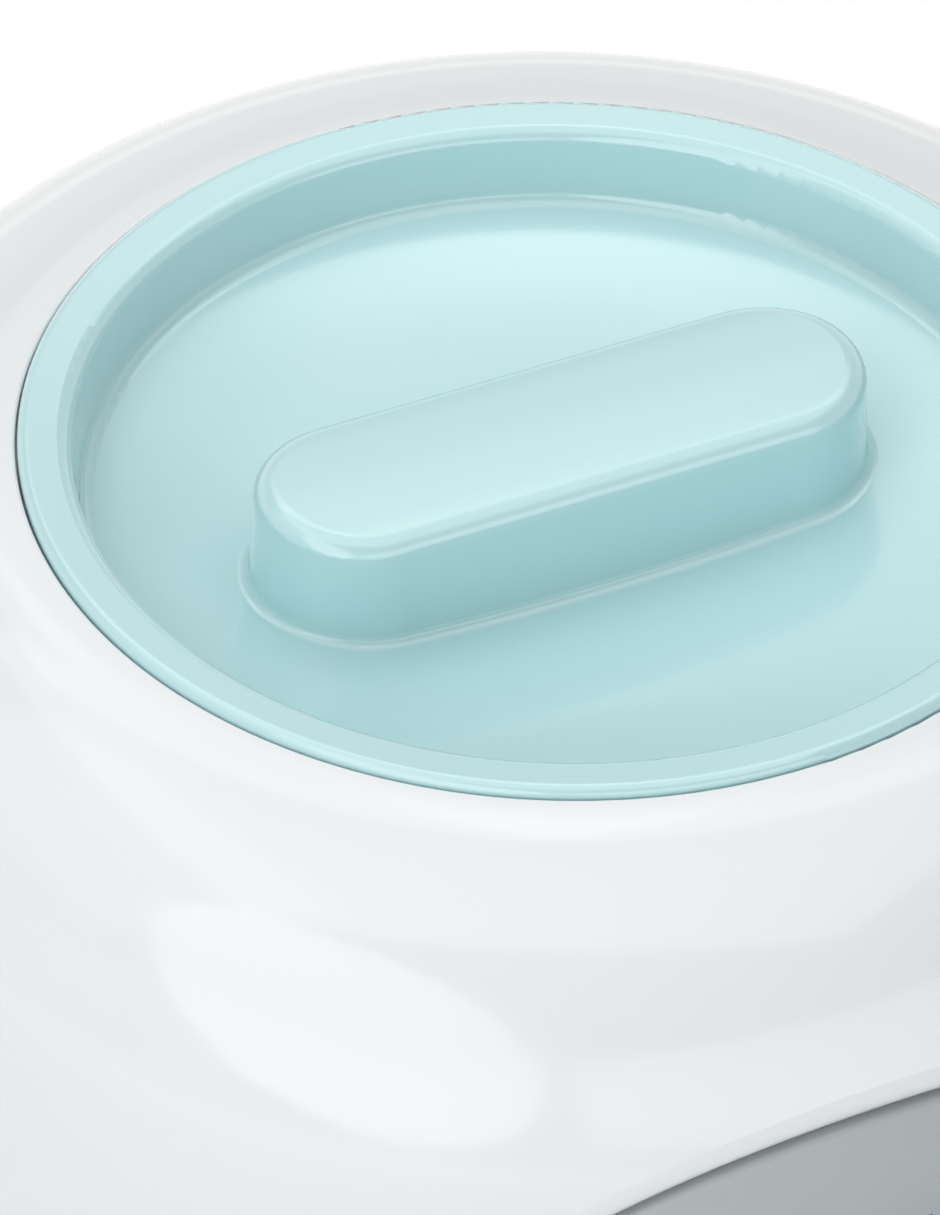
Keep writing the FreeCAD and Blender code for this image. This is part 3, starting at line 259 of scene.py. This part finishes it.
def spun_rings_group():
    """Metal spun about the upright axis: fine rings by radius and height, and a slow stain."""
    build, given, out = new_group(
        "Spun Rings", [("Ring Scale", 1500.0), ("Stain Scale", 14.0)], ["Rings", "Stain"]
    )
    place = build.add("ShaderNodeTexCoord")
    split = build.add("ShaderNodeSeparateXYZ")
    flat = build.add("ShaderNodeCombineXYZ")
    radius = build.add("ShaderNodeVectorMath", operation="LENGTH")
    along = build.add("ShaderNodeMath", operation="ADD")
    rings = build.add("ShaderNodeTexNoise", noise_dimensions="1D", detail=4.0)
    stain = build.add("ShaderNodeTexNoise", detail=3.0)
    build.link(place.outputs["Object"], split.inputs[0])
    build.link(split.outputs["X"], flat.inputs["X"])
    build.link(split.outputs["Y"], flat.inputs["Y"])
    build.link(flat.outputs[0], radius.inputs[0])
    build.link(radius.outputs["Value"], along.inputs[0])
    build.link(split.outputs["Z"], along.inputs[1])
    build.link(along.outputs[0], rings.inputs["W"])
    build.link(given.outputs["Ring Scale"], rings.inputs["Scale"])
    build.link(place.outputs["Object"], stain.inputs["Vector"])
    build.link(given.outputs["Stain Scale"], stain.inputs["Scale"])
    build.link(rings.outputs[0], out.inputs["Rings"])
    build.link(stain.outputs[0], out.inputs["Stain"])
    return build.tree


def worn_metal_group():
    """Plated, cast or drawn metal: crystals or pits, and a slow stain."""
    build, given, out = new_group(
        "Worn Metal", [("Pit Scale", 900.0), ("Stain Scale", 60.0)], ["Pits", "Stain"]
    )
    place = build.add("ShaderNodeTexCoord")
    pits = build.add("ShaderNodeTexVoronoi")
    stain = build.add("ShaderNodeTexNoise", detail=4.0)
    build.link(place.outputs["Object"], pits.inputs["Vector"])
    build.link(place.outputs["Object"], stain.inputs["Vector"])
    build.link(given.outputs["Pit Scale"], pits.inputs["Scale"])
    build.link(given.outputs["Stain Scale"], stain.inputs["Scale"])
    build.link(pits.outputs["Distance"], out.inputs["Pits"])
    build.link(stain.outputs[0], out.inputs["Stain"])
    return build.tree


def weave_group():
    """A plain weave wrapped round the upright axis: threads over and under, and loose fibre."""
    build, given, out = new_group(
        "Plain Weave", [("Thread", 900.0), ("Radius", 0.069)], ["Threads", "Fibre"]
    )
    place = build.add("ShaderNodeTexCoord")
    split = build.add("ShaderNodeSeparateXYZ")
    angle = build.add("ShaderNodeMath", operation="ARCTAN2")
    girth = build.add("ShaderNodeMath", operation="MULTIPLY")
    wraps = []
    build.link(place.outputs["Object"], split.inputs[0])
    build.link(split.outputs["Y"], angle.inputs[0])
    build.link(split.outputs["X"], angle.inputs[1])
    build.link(angle.outputs[0], girth.inputs[0])
    build.link(given.outputs["Radius"], girth.inputs[1])
    for source in (girth.outputs[0], split.outputs["Z"]):
        scaled = build.add("ShaderNodeMath", operation="MULTIPLY")
        wave = build.add("ShaderNodeMath", operation="SINE")
        build.link(source, scaled.inputs[0])
        build.link(given.outputs["Thread"], scaled.inputs[1])
        build.link(scaled.outputs[0], wave.inputs[0])
        wraps.append(wave.outputs[0])
    cross = build.add("ShaderNodeMath", operation="MULTIPLY")
    lift = build.add("ShaderNodeMath", operation="MULTIPLY_ADD")
    lift.inputs[1].default_value = 0.5
    lift.inputs[2].default_value = 0.5
    fibre = build.add("ShaderNodeTexNoise", scale=700.0, detail=4.0)
    build.link(wraps[0], cross.inputs[0])
    build.link(wraps[1], cross.inputs[1])
    build.link(cross.outputs[0], lift.inputs[0])
    build.link(place.outputs["Object"], fibre.inputs["Vector"])
    build.link(lift.outputs[0], out.inputs["Threads"])
    build.link(fibre.outputs[0], out.inputs["Fibre"])
    return build.tree


GROUP_MAKERS = {
    "Mould Skin": mould_skin_group,
    "Spun Rings": spun_rings_group,
    "Worn Metal": worn_metal_group,
    "Plain Weave": weave_group,
}


def surface_group(name):
    """A shared surface effect, built at its first use."""
    return bpy.data.node_groups.get(name) or GROUP_MAKERS[name]()


class Finish:
    """One material: a Principled surface with a shared effect behind its colour, gloss and bump."""

    def __init__(self, name, group, **values):
        self.material = bpy.data.materials.new(name)
        self.material.use_nodes = True
        self.build = NodeTree(self.material.node_tree)
        self.surface = self.material.node_tree.nodes["Principled BSDF"]
        self.effect = self.build.add("ShaderNodeGroup")
        self.effect.node_tree = surface_group(group)
        for label, value in values.items():
            self.effect.inputs[label].default_value = value

    def set(self, **values):
        """Sets constants on the Principled surface."""
        for label, value in values.items():
            self.surface.inputs[label].default_value = value
        return self

    def tint(self, output, colour, spread, other=None):
        """Base colour that moves between two tones with an output of the effect."""
        mix = self.build.add("ShaderNodeMix", data_type="RGBA")
        mix.inputs["A"].default_value = tuple(max(0.0, c * (1 - spread)) for c in colour) + (1,)
        high = other or tuple(min(1.0, c * (1 + spread)) for c in colour)
        mix.inputs["B"].default_value = tuple(high) + (1,)
        self.build.link(self.effect.outputs[output], mix.inputs["Factor"])
        self.build.link(mix.outputs["Result"], self.surface.inputs["Base Color"])
        return self

    def gloss(self, output, low, high):
        """Roughness between two values with an output of the effect."""
        spread = self.build.add("ShaderNodeMapRange")
        spread.inputs["To Min"].default_value = low
        spread.inputs["To Max"].default_value = high
        self.build.link(self.effect.outputs[output], spread.inputs["Value"])
        self.build.link(spread.outputs["Result"], self.surface.inputs["Roughness"])
        return self

    def relief(self, output, depth, strength):
        """Bump from an output of the effect."""
        bump = self.build.add("ShaderNodeBump")
        bump.inputs["Strength"].default_value = strength
        bump.inputs["Distance"].default_value = depth
        self.build.link(self.effect.outputs[output], bump.inputs["Height"])
        self.build.link(bump.outputs["Normal"], self.surface.inputs["Normal"])
        return self


def dress(finish, *names):
    """Puts a finish on CAD nodes."""
    for name in names:
        node = nodes[name]
        node.data.materials.clear()
        node.data.materials.append(finish.material)


def plastic(name, colour, rough, spread=0.012, grain=0.3, depth=0.02, strength=0.06):
    """A moulded plastic finish."""
    finish = Finish(name, "Mould Skin", **{"Grain Share": grain})
    finish.tint("Mottle", colour, spread).gloss("Mottle", *rough)
    return finish.relief("Height", depth * MM, strength)


def metal(name, colour, rough, pit_scale, depth, strength, spread=0.05):
    """A plated, cast or drawn metal finish."""
    finish = Finish(name, "Worn Metal", **{"Pit Scale": pit_scale})
    finish.tint("Stain", colour, spread).gloss("Stain", *rough).relief("Pits", depth * MM, strength)
    return finish.set(Metallic=1.0)


def spun(name, colour, rough, depth, strength, ring_scale):
    """A spun metal finish."""
    finish = Finish(name, "Spun Rings", **{"Ring Scale": ring_scale})
    finish.tint("Stain", colour, 0.04).gloss("Rings", *rough).relief("Rings", depth * MM, strength)
    return finish.set(Metallic=1.0)


def new_piece(name, mesh, finish, body):
    """A piece of the scene that rides on a CAD body."""
    piece = bpy.data.objects.new(name, mesh)
    bpy.context.scene.collection.objects.link(piece)
    mesh.materials.clear()
    mesh.materials.append(finish.material)
    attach(piece, body)
    return piece


class WARMER_OT_body(bpy.types.Operator):
    """Gives the one-piece body its glossy white moulding"""

    bl_idname = "warmer.body"
    bl_label = "Body"

    def execute(self, context):
        colours = context.scene.warmer_colours
        finish = plastic("body_white", colours.body, rough=(0.11, 0.16))
        dress(finish.set(**{"Coat Weight": 0.3, "Coat Roughness": 0.08}), "upper_housing")
        return {"FINISHED"}


class WARMER_OT_lid(bpy.types.Operator):
    """Gives the lid its glossy mint moulding"""

    bl_idname = "warmer.lid"
    bl_label = "Lid"

    def execute(self, context):
        colours = context.scene.warmer_colours
        finish = plastic("lid_mint", colours.lid, rough=(0.12, 0.16), spread=0.015)
        dress(finish.set(**{"Coat Weight": 1.0, "Coat Roughness": 0.15}), "lid")
        return {"FINISHED"}


class WARMER_OT_panel(bpy.types.Operator):
    """Gives the control panel its fine satin grey"""

    bl_idname = "warmer.panel"
    bl_label = "Control panel"

    def execute(self, context):
        colours = context.scene.warmer_colours
        finish = plastic(
            "panel_satin", colours.panel, rough=(0.34, 0.42), grain=0.8, depth=0.03, strength=0.15
        )
        dress(finish, "control_panel")
        return {"FINISHED"}


class WARMER_OT_dial_print(bpy.types.Operator):
    """Prints plain figures and ticks on the control panel round the knob"""

    bl_idname = "warmer.dial_print"
    bl_label = "Dial print"

    def execute(self, context):
        dial = context.scene.warmer_dial
        colours = context.scene.warmer_colours
        finish = plastic("dial_ink", colours.dial, rough=(0.45, 0.6), spread=0.08, grain=0.9)
        new_piece("dial_figures", self.figures(context, dial), finish, "housing")
        new_piece("dial_ticks", self.ticks(dial), finish, "housing")
        return {"FINISHED"}

    @staticmethod
    def angle_of(dial, step):
        """A step's angle from the top of the dial, clockwise seen from the front."""
        return dial.sweep * (step / (dial.steps - 1) - 0.5)

    def figures(self, context, dial):
        """One mesh with every figure, laid on the panel."""
        sheet = bmesh.new()
        for step in range(dial.steps):
            curve = bpy.data.curves.new("figure", "FONT")
            curve.body = str(step)
            curve.size = dial.figure_height / FIGURE_SHARE
            curve.align_x = "CENTER"
            curve.align_y = "CENTER"
            text = bpy.data.objects.new("figure", curve)
            context.scene.collection.objects.link(text)
            shown = text.evaluated_get(context.evaluated_depsgraph_get())
            flat = bpy.data.meshes.new_from_object(shown)
            angle = self.angle_of(dial, step)
            middle = Vector((math.sin(angle), math.cos(angle), 0)) * dial.figure_ring
            flat.transform(Matrix.Translation(middle))
            sheet.from_mesh(flat)
            bpy.data.objects.remove(text)
            bpy.data.curves.remove(curve)
            bpy.data.meshes.remove(flat)
        return lay_on_panel("dial_figures", sheet, dial.ink)

    def ticks(self, dial):
        """One mesh with a long tick at each figure and a short one between."""
        sheet = bmesh.new()
        count = 2 * dial.steps - 1
        for i in range(count):
            angle = self.angle_of(dial, i / 2)
            length = dial.tick_length if i % 2 == 0 else dial.tick_length / 2
            half = dial.tick_width / 2
            turn = Matrix.Rotation(-angle, 4, "Z")
            low, high = dial.tick_start, dial.tick_start + length
            outline = [(-half, low), (half, low), (half, high - half), (0, high), (-half, high - half)]
            sheet.faces.new([sheet.verts.new(turn @ Vector((x, y, 0))) for x, y in outline])
        return lay_on_panel("dial_ticks", sheet, dial.ink)


def lay_on_panel(name, sheet, ink):
    """Turns a flat drawing about the knob's centre into print that follows the curved panel."""
    panel = nodes["control_panel"].data
    surface = BVHTree.FromPolygons([v.co for v in panel.vertices], [p.vertices for p in panel.polygons])
    before = cad_box[0].y - PROBE_REACH
    for vert in sheet.verts:
        x, z = KNOB_CENTRE.x + vert.co.x, KNOB_CENTRE.z + vert.co.y
        hit, normal, _, _ = surface.ray_cast(Vector((x, before, z)), Vector((0, 1, 0)))
        if hit is None:
            raise RuntimeError("the dial print runs off the control panel")
        vert.co = hit + normal * ink
    bmesh.ops.solidify(sheet, geom=sheet.faces[:], thickness=PRINT_THICKNESS * ink)
    bmesh.ops.recalc_face_normals(sheet, faces=sheet.faces)
    mesh = bpy.data.meshes.new(name)
    sheet.to_mesh(mesh)
    sheet.free()
    return mesh


class WARMER_OT_knob(bpy.types.Operator):
    """Gives the knob its white moulding, its steel spindle and the paint in its pointer groove"""

    bl_idname = "warmer.knob"
    bl_label = "Temperature knob"

    def execute(self, context):
        colours = context.scene.warmer_colours
        dial = context.scene.warmer_dial
        white = plastic("knob_white", colours.body, rough=(0.24, 0.32), grain=0.6, strength=0.1)
        dress(white, "temperature_knob")
        steel = metal(
            "spindle_steel", colours.zinc, rough=(0.22, 0.34), pit_scale=1600.0, depth=0.01, strength=0.1
        )
        dress(steel, "thermostat_spindle")
        paint = plastic("pointer_paint", colours.pointer, rough=(0.3, 0.4), spread=0.04)
        new_piece("pointer_fill", self.fill(dial), paint, "knob")
        return {"FINISHED"}

    @staticmethod
    def fill(dial):
        """A bar of paint with a rounded end in the groove, at the dial's first step."""
        bar = bmesh.new()
        half = dial.pointer_width / 2
        end = dial.pointer_end - half
        outline = [Vector((-half, 0, dial.pointer_start)), Vector((half, 0, dial.pointer_start))]
        outline += [
            Vector((half * math.cos(a), 0, end + half * math.sin(a)))
            for a in (math.pi * i / ROUND_END_STEPS for i in range(ROUND_END_STEPS + 1))
        ]
        face = bar.faces.new([bar.verts.new(p) for p in outline])
        top = bmesh.ops.extrude_face_region(bar, geom=[face])
        rise = Vector((0, dial.pointer_depth - dial.pointer_floor, 0))
        raised = [v for v in top["geom"] if isinstance(v, bmesh.types.BMVert)]
        bmesh.ops.translate(bar, vec=rise, verts=raised)
        turn = Matrix.Rotation(-dial.sweep / 2, 4, "Y")
        floor = Vector((KNOB_CENTRE.x, KNOB_LOW.y + dial.pointer_floor, KNOB_CENTRE.z))
        bmesh.ops.transform(bar, matrix=Matrix.Translation(floor) @ turn, verts=bar.verts)
        bmesh.ops.recalc_face_normals(bar, faces=bar.faces)
        mesh = bpy.data.meshes.new("pointer_fill")
        bar.to_mesh(mesh)
        bar.free()
        return mesh


class WARMER_OT_lenses(bpy.types.Operator):
    """Gives the indicator lenses their tinted clear plastic and the lamps their glass"""

    bl_idname = "warmer.lenses"
    bl_label = "Lenses and lamps"

    def execute(self, context):
        colours = context.scene.warmer_colours
        for name, node, colour in (
            ("lens_green", "power_lens", colours.power),
            ("lens_amber", "heating_lens", colours.heating),
        ):
            lens = plastic(name, colour, rough=(0.06, 0.14), spread=0.05, strength=0.04)
            dress(lens.set(**{"Transmission Weight": 0.55, "IOR": 1.49}), node)
        lamp = plastic("lamp_glass", colours.lamp, rough=(0.08, 0.18), spread=0.03)
        dress(lamp.set(**{"Transmission Weight": 0.3}), "indicator_lamps")
        return {"FINISHED"}


class WARMER_OT_pot(bpy.types.Operator):
    """Gives the lift-out pot its spun aluminium"""

    bl_idname = "warmer.pot"
    bl_label = "Pot"

    def execute(self, context):
        colours = context.scene.warmer_colours
        finish = spun(
            "pot_spun", colours.pot, rough=(0.24, 0.42), depth=0.02, strength=0.35, ring_scale=1400.0
        )
        dress(finish, "inner_pot")
        return {"FINISHED"}


class WARMER_OT_well(bpy.types.Operator):
    """Gives the heater well, the heater and its pressure plate their metals"""

    bl_idname = "warmer.well"
    bl_label = "Heater well"

    def execute(self, context):
        colours = context.scene.warmer_colours
        drawn = spun(
            "well_drawn", colours.well, rough=(0.34, 0.5), depth=0.03, strength=0.25, ring_scale=800.0
        )
        dress(drawn, "heater_well")
        cast = metal(
            "heater_cast", colours.cast, rough=(0.5, 0.68), pit_scale=700.0, depth=0.12, strength=0.4,
            spread=0.1,
        )
        dress(cast, "heater_plate")
        plated = metal(
            "plate_zinc", colours.zinc, rough=(0.3, 0.5), pit_scale=260.0, depth=0.01, strength=0.15
        )
        dress(plated, "pressure_plate")
        return {"FINISHED"}


class WARMER_OT_insulation(bpy.types.Operator):
    """Gives the insulation sleeve its weave and the seal its silicone"""

    bl_idname = "warmer.insulation"
    bl_label = "Insulation"

    def execute(self, context):
        colours = context.scene.warmer_colours
        sleeve = Finish("sleeve_weave", "Plain Weave")
        sleeve.tint("Threads", colours.fibre, 0.16).gloss("Fibre", 0.7, 0.95)
        sleeve.relief("Threads", 0.35 * MM, 0.7)
        dress(sleeve.set(**{"Sheen Weight": 0.3}), "insulation_sleeve")
        dress(plastic("seal_silicone", colours.silicone, rough=(0.4, 0.55), spread=0.05), "well_seal")
        return {"FINISHED"}


class WARMER_OT_thermostat(bpy.types.Operator):
    """Gives the thermostat, its sensor and the thermal fuse their finishes"""

    bl_idname = "warmer.thermostat"
    bl_label = "Thermostat and sensor"

    def execute(self, context):
        colours = context.scene.warmer_colours
        case = plastic(
            "thermostat_black", colours.moulding, rough=(0.42, 0.6), spread=0.2, grain=0.9, strength=0.2
        )
        dress(case, "thermostat_body")
        copper = metal(
            "sensor_copper", colours.copper, rough=(0.25, 0.42), pit_scale=1200.0, depth=0.01, strength=0.1,
            spread=0.12,
        )
        dress(copper, "sensor_bulb")
        fuse = plastic(
            "fuse_sleeve", colours.ceramic, rough=(0.5, 0.7), spread=0.06, grain=0.8, strength=0.2
        )
        dress(fuse, "thermal_fuse")
        return {"FINISHED"}


class WARMER_OT_fasteners(bpy.types.Operator):
    """Gives screws, clips and the nut their zinc plate, and the earth tag and clamp screws their brass"""

    bl_idname = "warmer.fasteners"
    bl_label = "Fasteners"

    def execute(self, context):
        colours = context.scene.warmer_colours
        zinc = metal(
            "fastener_zinc", colours.zinc, rough=(0.24, 0.44), pit_scale=500.0, depth=0.01, strength=0.12,
            spread=0.08,
        )
        dress(zinc, "panel_screws", "thermostat_screws", "well_screws", "base_screws")
        dress(zinc, "plate_nut", "bulb_clip", "fuse_clip")
        brass = metal(
            "tag_brass", colours.brass, rough=(0.24, 0.4), pit_scale=900.0, depth=0.01, strength=0.1,
            spread=0.1,
        )
        dress(brass, "earth_tag", "terminal_screws")
        return {"FINISHED"}


class WARMER_OT_wiring(bpy.types.Operator):
    """Gives the leads their sheaths and the terminal block its moulding"""

    bl_idname = "warmer.wiring"
    bl_label = "Wiring"

    def execute(self, context):
        colours = context.scene.warmer_colours
        for name, colour, leads in (
            ("lead_blue", colours.neutral, ["neutral_lead"]),
            ("lead_brown", colours.live, ["live_lead", "switched_lead", "fuse_lead"]),
            ("lead_black", colours.lamp_lead, ["lamp_leads"]),
        ):
            dress(plastic(name, colour, rough=(0.34, 0.46), spread=0.08, grain=0.7, strength=0.12), *leads)
        earth = Finish("lead_striped", "Plain Weave", Thread=900.0, Radius=0.02)
        earth.tint("Threads", colours.earth, 0.05, other=colours.earth_stripe).gloss("Fibre", 0.34, 0.48)
        dress(earth.relief("Fibre", 0.02 * MM, 0.1), "earth_lead")
        ivory = plastic("block_ivory", colours.block, rough=(0.38, 0.5), spread=0.03, grain=0.7)
        dress(ivory, "terminal_block")
        return {"FINISHED"}


class WARMER_OT_base(bpy.types.Operator):
    """Gives the base plate, the feet and the cord gland their matt mouldings"""

    bl_idname = "warmer.base"
    bl_label = "Base"

    def execute(self, context):
        colours = context.scene.warmer_colours
        matt = plastic(
            "base_matt", colours.base, rough=(0.48, 0.62), spread=0.02, grain=0.9, depth=0.05, strength=0.3
        )
        dress(matt, "base_plate", "cord_gland", "gland_nut")
        rubber = plastic(
            "foot_rubber", colours.rubber, rough=(0.65, 0.85), spread=0.25, grain=0.8, depth=0.08,
            strength=0.4,
        )
        dress(rubber, "rubber_feet")
        return {"FINISHED"}


class WARMER_OT_stage(bpy.types.Operator):
    """Sets the pale floor, the studio light and the camera"""

    bl_idname = "warmer.stage"
    bl_label = "Stage"

    def execute(self, context):
        stage = context.scene.warmer_stage
        context.scene.view_settings.view_transform = "Standard"
        self.floor(context, stage)
        self.world(context, stage)
        for name, shape, level, place, roll, size in SOFTBOXES:
            self.softbox(context, name, shape, getattr(stage, level), place, math.radians(roll), size)
        self.camera(context, stage)
        return {"FINISHED"}

    @staticmethod
    def larger(build, first, second):
        """The larger of two values."""
        node = build.add("ShaderNodeMath", operation="MAXIMUM")
        build.link(first, node.inputs[0])
        build.link(second, node.inputs[1])
        return node.outputs[0]

    @classmethod
    def seen_directly(cls, build, path):
        """One where the camera, a reflection or clear plastic looks at the floor or the backdrop."""
        mirrored = cls.larger(build, path.outputs["Is Glossy Ray"], path.outputs["Is Transmission Ray"])
        return cls.larger(build, path.outputs["Is Camera Ray"], mirrored)

    def floor(self, context, stage):
        """A pale square that keeps the shadow, looks white beyond it and is clear from below."""
        sheet = bmesh.new()
        bmesh.ops.create_grid(sheet, x_segments=1, y_segments=1, size=stage.floor_size / 2)
        mesh = bpy.data.meshes.new("floor")
        sheet.to_mesh(mesh)
        sheet.free()
        floor = bpy.data.objects.new("floor", mesh)
        context.scene.collection.objects.link(floor)
        material = bpy.data.materials.new("floor_pale")
        material.use_nodes = True
        build = NodeTree(material.node_tree)
        surface = material.node_tree.nodes["Principled BSDF"]
        surface.inputs["Base Color"].default_value = tuple(stage.floor_colour) + (1,)
        surface.inputs["Roughness"].default_value = FLOOR_ROUGHNESS
        surface.inputs["Specular IOR Level"].default_value = FLOOR_SPECULAR
        surface.inputs["Emission Color"].default_value = (1, 1, 1, 1)
        place = build.add("ShaderNodeTexCoord")
        reach = build.add("ShaderNodeVectorMath", operation="LENGTH")
        far = build.add("ShaderNodeMapRange", interpolation_type="SMOOTHSTEP")
        far.inputs["From Min"].default_value = stage.floor_near
        far.inputs["From Max"].default_value = stage.floor_far
        far.inputs["To Min"].default_value = stage.floor_lift
        far.inputs["To Max"].default_value = 1.0
        build.link(place.outputs["Object"], reach.inputs[0])
        build.link(reach.outputs["Value"], far.inputs["Value"])
        lift = build.add("ShaderNodeMath", operation="MULTIPLY")
        build.link(far.outputs[0], lift.inputs[1])
        build.link(self.seen_directly(build, build.add("ShaderNodeLightPath")), lift.inputs[0])
        build.link(lift.outputs[0], surface.inputs["Emission Strength"])
        side = build.add("ShaderNodeNewGeometry")
        clear = build.add("ShaderNodeBsdfTransparent")
        both = build.add("ShaderNodeMixShader")
        build.link(side.outputs["Backfacing"], both.inputs[0])
        build.link(surface.outputs[0], both.inputs[1])
        build.link(clear.outputs[0], both.inputs[2])
        build.link(both.outputs[0], material.node_tree.nodes["Material Output"].inputs["Surface"])
        mesh.materials.append(material)

    def world(self, context, stage):
        """A white backdrop, dimmer overhead in reflections, with an even, lower level for its light."""
        world = bpy.data.worlds.new("studio")
        world.use_nodes = True
        context.scene.world = world
        build = NodeTree(world.node_tree)
        background = world.node_tree.nodes["Background"]
        background.inputs["Color"].default_value = (1, 1, 1, 1)
        place = build.add("ShaderNodeTexCoord")
        split = build.add("ShaderNodeSeparateXYZ")
        fade = build.add("ShaderNodeMapRange", interpolation_type="SMOOTHSTEP")
        fade.inputs["From Min"].default_value = math.sin(stage.backdrop_top)
        fade.inputs["From Max"].default_value = math.sin(stage.ceiling_edge)
        fade.inputs["To Min"].default_value = 1.0
        fade.inputs["To Max"].default_value = stage.ceiling
        level = build.add("ShaderNodeMix")
        level.inputs[2].default_value = stage.ambient
        path = build.add("ShaderNodeLightPath")
        build.link(place.outputs["Generated"], split.inputs[0])
        build.link(split.outputs["Z"], fade.inputs["Value"])
        build.link(self.larger(build, fade.outputs[0], path.outputs["Is Camera Ray"]), level.inputs[3])
        build.link(self.seen_directly(build, path), level.inputs[0])
        build.link(level.outputs[0], background.inputs["Strength"])

    @staticmethod
    def towards(azimuth, elevation):
        """The unit vector from the object towards a place in the studio."""
        return Vector((
            math.sin(azimuth) * math.cos(elevation),
            -math.cos(azimuth) * math.cos(elevation),
            math.sin(elevation),
        ))

    def softbox(self, context, name, shape, radiance, place, roll, size):
        """A softbox of a shape and radiance, at an azimuth and elevation in degrees, facing the lid."""
        light = bpy.data.lights.new(name, "AREA")
        light.shape = shape
        light.size, light.size_y = size
        area = size[0] * size[1] * (math.pi / 4 if shape == "ELLIPSE" else 1.0)
        light.energy = radiance * math.pi * area
        box = bpy.data.objects.new(name, light)
        context.scene.collection.objects.link(box)
        out = self.towards(*(math.radians(a) for a in place))
        box.location = Vector((0, 0, LID_HIGH.z)) + out * BOX_DISTANCE
        box.rotation_mode = "QUATERNION"
        box.rotation_quaternion = (-out).to_track_quat("-Z", "Y") @ Quaternion((0, 0, 1), roll)
        box.visible_camera = False

    def camera(self, context, stage):
        """The camera at the picture's angle, with the lid's rim placed in the frame."""
        data = bpy.data.cameras.new("picture")
        camera = bpy.data.objects.new("picture", data)
        context.scene.collection.objects.link(camera)
        back = self.towards(stage.azimuth, stage.elevation)
        turn = (-back).to_track_quat("-Z", "Y") @ Quaternion((0, 0, 1), stage.roll)
        right = turn @ Vector((1, 0, 0))
        up = turn @ Vector((0, 1, 0))
        aim = Vector((0, 0, stage.rim_height)) - right * stage.rim_right - up * stage.rim_up
        camera.rotation_mode = "QUATERNION"
        camera.rotation_quaternion = turn
        camera.location = aim + back * stage.distance
        data.lens = data.sensor_width * stage.distance / stage.frame_height
        data.clip_start, data.clip_end = CLIP_NEAR, CLIP_FAR
        context.scene.camera = camera


class WARMER_PT_looks(bpy.types.Panel):
    """Lists the warmer's operators and settings"""

    bl_idname = "WARMER_PT_looks"
    bl_label = "Wax Warmer"
    bl_space_type = "VIEW_3D"
    bl_region_type = "UI"
    bl_category = "Wax Warmer"

    def draw(self, context):
        for operator in OPERATORS:
            self.layout.operator(operator.bl_idname)
        for group in (context.scene.warmer_colours, context.scene.warmer_dial, context.scene.warmer_stage):
            box = self.layout.box()
            for key in group.__annotations__:
                box.prop(group, key)


OPERATORS = (
    WARMER_OT_body,
    WARMER_OT_lid,
    WARMER_OT_panel,
    WARMER_OT_dial_print,
    WARMER_OT_knob,
    WARMER_OT_lenses,
    WARMER_OT_pot,
    WARMER_OT_well,
    WARMER_OT_insulation,
    WARMER_OT_thermostat,
    WARMER_OT_fasteners,
    WARMER_OT_wiring,
    WARMER_OT_base,
    WARMER_OT_stage,
)
SETTINGS = {"warmer_colours": WarmerColours, "warmer_dial": WarmerDial, "warmer_stage": WarmerStage}


def register():
    """Registers the settings, the operators and the panel."""
    for cls in (*SETTINGS.values(), *OPERATORS, WARMER_PT_looks):
        bpy.utils.register_class(cls)
    for key, cls in SETTINGS.items():
        setattr(bpy.types.Scene, key, PointerProperty(type=cls))


def unregister():
    """Removes what register added."""
    for key in SETTINGS:
        delattr(bpy.types.Scene, key)
    for cls in (WARMER_PT_looks, *reversed(OPERATORS), *SETTINGS.values()):
        bpy.utils.unregister_class(cls)


def main():
    """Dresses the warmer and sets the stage."""
    register()
    for operator in OPERATORS:
        group, name = operator.bl_idname.split(".")
        getattr(getattr(bpy.ops, group), name)()


if __name__ == "__main__":
    main()
